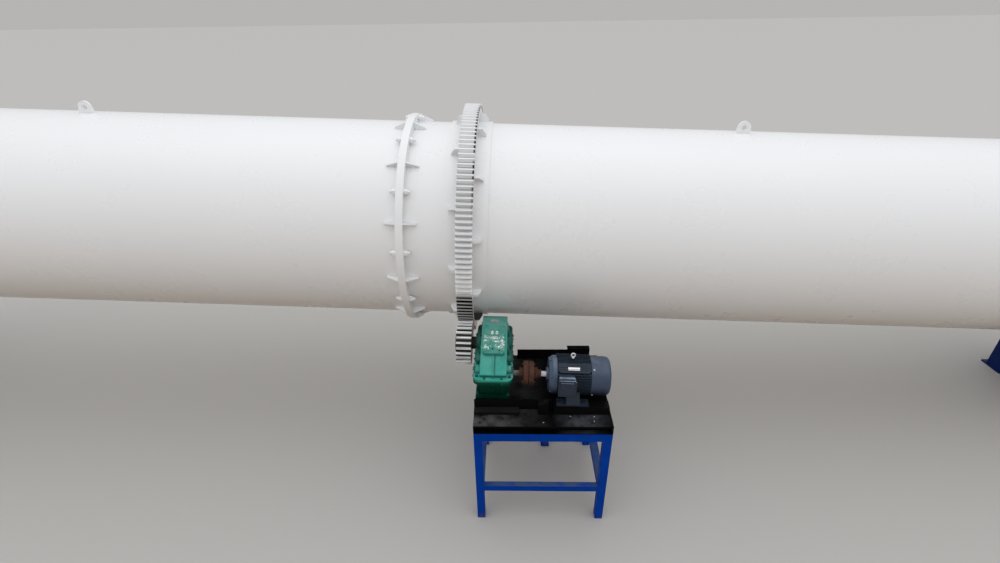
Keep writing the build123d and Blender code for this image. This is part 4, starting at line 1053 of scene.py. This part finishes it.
# bolts of the motor: round its shield, round its fan cover and through its feet
motorBolts = {
    "shieldAt": 1.030,
    "shield": {"radius": 0.117, "count": 6, "first": 90},
    "shieldSize": boltSize(0.0065, 0.006, 0.008, 0.0015),
    "coverAt": 1.306, "coverRadius": 0.131, "coverAngles": (125, 215, 305, 395),
    "coverSize": boltSize(0.005, 0.003, 0.0065, 0.001),
    "footAt": (1.088, 1.247), "footSide": 0.132, "footUp": -0.118,
    "footSize": boltSize(0.0075, 0.006, 0.010, 0.002, 0.004, 0.004),
}
points = boltCircle(motorBolts["shieldAt"], drive["input"], drive["up"], motorBolts["shield"], -1)
bolts("shieldBolts", points, motorBolts["shieldSize"], "motorShield", "frame")
points = []
for angle in motorBolts["coverAngles"]:
    out = outwards(angle)
    middle = drumPoint(motorBolts["coverAt"], drive["input"], drive["up"])
    points.append((middle + out * motorBolts["coverRadius"], out))
bolts("fanCoverScrews", points, motorBolts["coverSize"], "boltZinc", "frame")
points = []
for distance in motorBolts["footAt"]:
    for direction in (-1, 1):
        side = drive["input"] + direction * motorBolts["footSide"]
        points.append((drumPoint(distance, side, drive["up"] + motorBolts["footUp"]), upward))
bolts("motorFootBolts", points, motorBolts["footSize"], "boltDark", "frame")

# lid of the terminal box: a rim, the lid on it and a raised middle
terminalLid = {
    "along": 1.121, "up": 0.047,
    "layers": (
        ("terminalRim", 0.184, (0.0500, 0.0600, 0.012), 0.003, "motorNavy"),
        ("terminalLid", 0.199, (0.0535, 0.0640, 0.004), 0.003, "motorBox"),
        ("terminalPanel", 0.204, (0.0420, 0.0500, 0.0035), 0.0028, "motorBox"),
    ),
    "screws": ((-0.0475, -0.0575), (-0.0475, 0.0575), (0.0475, -0.0575), (0.0475, 0.0575)),
    "screwReach": 0.203,
    "size": boltSize(0.003, 0.002, 0.004, 0.0008),
}
lidUp = drive["up"] + terminalLid["up"]
for name, reach, halfSizes, rounding, finishName in terminalLid["layers"]:
    centre = drumPoint(terminalLid["along"], drive["input"] - reach, lidUp)
    mesh = blockMesh(name, centre, along, upward, -backward, halfSizes)
    solidPiece(name, mesh, finishName, "frame", rounding)
points = []
screwSide = drive["input"] - terminalLid["screwReach"]
for right, rise in terminalLid["screws"]:
    points.append((drumPoint(terminalLid["along"] + right, screwSide, lidUp + rise), -backward))
bolts("lidScrews", points, terminalLid["size"], "boltDark", "frame")

# blank plate on the motor's ledge
motorPlate = {
    "angle": 57.0, "reach": 0.138, "along": 1.1735, "lower": 0.002,
    "half": (0.038, 0.0125, 0.0010), "rounding": 0.0004,
    "rivets": ((-0.034, -0.0095), (-0.034, 0.0095), (0.034, -0.0095), (0.034, 0.0095)),
    "rivetSize": boltSize(0.0008, 0.0002, 0.0014, 0.0004),
}
ledge = math.radians(motorPlate["angle"])
ledgeOut = upward * math.sin(ledge) - backward * math.cos(ledge)
ledgeRise = upward * math.cos(ledge) + backward * math.sin(ledge)
thickness = motorPlate["half"][2]
plateCentre = drumPoint(motorPlate["along"], drive["input"], drive["up"]) + ledgeOut * motorPlate["reach"]
plateCentre = plateCentre - ledgeRise * motorPlate["lower"] + ledgeOut * thickness
mesh = blockMesh("motorPlate", plateCentre, along, ledgeRise, ledgeOut, motorPlate["half"])
solidPiece("motorPlate", mesh, "plateMetal", "frame", motorPlate["rounding"])
points = []
for right, rise in motorPlate["rivets"]:
    points.append((plateCentre + along * right + ledgeRise * rise + ledgeOut * thickness, ledgeOut))
bolts("plateRivets", points, motorPlate["rivetSize"], "plateMetal", "frame")

# lifting eye on top of the motor: a ring on a stem on a collar
liftingEye = {
    "along": 1.172, "top": 0.142, "lift": 0.023,
    "ring": 0.0135, "wire": 0.0042, "segments": 28, "sides": 10,
    "collar": 0.0085, "collarHeight": 0.005, "stem": 0.0045, "stemSides": 16,
}


# corners of a ring of a given radius, round a centre and across two directions
def ringCorners(shape, centre, right, rise, radius, count):
    corners = []
    for index in range(count):
        turn = 2 * math.pi * index / count
        out = right * math.cos(turn) + rise * math.sin(turn)
        corners.append(shape.verts.new(centre + out * radius))
    return corners


def eyeMesh(look):
    shape = bmesh.new()
    base = drumPoint(look["along"], drive["input"], drive["up"] + look["top"])
    centre = base + upward * look["lift"]
    rings = []
    for index in range(look["segments"]):
        turn = 2 * math.pi * index / look["segments"]
        out = along * math.cos(turn) + upward * math.sin(turn)
        middle = centre + out * look["ring"]
        rings.append(ringCorners(shape, middle, out, backward, look["wire"], look["sides"]))
    for index, ring in enumerate(rings):
        bridge(shape, ring, rings[(index + 1) % len(rings)])
    for radius, start, end in (
        (look["collar"], 0.0, look["collarHeight"]),
        (look["stem"], look["collarHeight"], look["lift"] - look["ring"]),
    ):
        low = ringCorners(shape, base + upward * start, along, backward, radius, look["stemSides"])
        high = ringCorners(shape, base + upward * end, along, backward, radius, look["stemSides"])
        bridge(shape, low, high)
        shape.faces.new(low)
        shape.faces.new(high)
    return closedMesh("liftingEye", shape)


eye = solidPiece("liftingEye", eyeMesh(liftingEye), "brightSteel", "frame")
for face in eye.data.polygons:
    face.use_smooth = True

print("stage: supports and platform")
# bolts in the feet of the roller bearings, on both supports
bearingBolts = {
    "stations": (-5.859, 5.859),
    "offset": 0.130,
    "rollerSide": 0.4952,
    "spread": 0.078,
    "up": -0.93771,
    "size": boltSize(0.014, 0.012, 0.018, 0.003, 0.009, 0.012),
}
points = []
for station in bearingBolts["stations"]:
    for end in (-1, 1):
        for roller in (-1, 1):
            for foot in (-1, 1):
                distance = station + end * bearingBolts["offset"]
                side = roller * bearingBolts["rollerSide"] + foot * bearingBolts["spread"]
                points.append((drumPoint(distance, side, bearingBolts["up"]), upward))
bolts("bearingBolts", points, bearingBolts["size"], "boltZinc", "frame")

# bolts in the platform plate, and its empty holes as black discs of painted shade
platform = {
    "top": 0.918,
    "bolts": ((0.953, -1.112), (1.134, -1.056), (1.291, -1.056), (1.285, -1.100)),
    "holes": ((0.566, -1.080), (0.538, -1.114), (0.686, -1.079)),
    "boltSize": boltSize(0.0035, 0.002, 0.0045, 0.0008),
    "holeSize": boltSize(0.001, 0.0001, 0.009, 0.0004),
}
vertical = Vector((0, 0, 1))
for name, places, size, finishName in (
    ("platformBolts", "bolts", "boltSize", "boltZinc"),
    ("platformHoles", "holes", "holeSize", "holeShade"),
):
    points = [(Vector((x, y, platform["top"])), vertical) for x, y in platform[places]]
    bolts(name, points, platform[size], finishName, "frame")

print("stage: floor")
# seen is its colour to the camera, bounce the light that it throws up at the drum
floorLook = {
    "size": 240.0,
    "seen": (0.44, 0.425, 0.405),
    "bounce": (0.248, 0.174, 0.100),
    "roughness": 0.9,
}
half = floorLook["size"] / 2
mesh = bpy.data.meshes.new("floor")
mesh.from_pydata([(-half, -half, 0), (half, -half, 0), (half, half, 0), (-half, half, 0)], [], [(0, 1, 2, 3)])
floor = addObject("floor", mesh)
floorMaterial, tree, shader, place = startMaterial("floor")
floorColour = mixed(tree, seenDirectly(tree), floorLook["bounce"], floorLook["seen"])
tree.links.new(floorColour, shader.inputs["Base Color"])
shader.inputs["Roughness"].default_value = floorLook["roughness"]
mesh.materials.append(floorMaterial)

print("stage: finished")
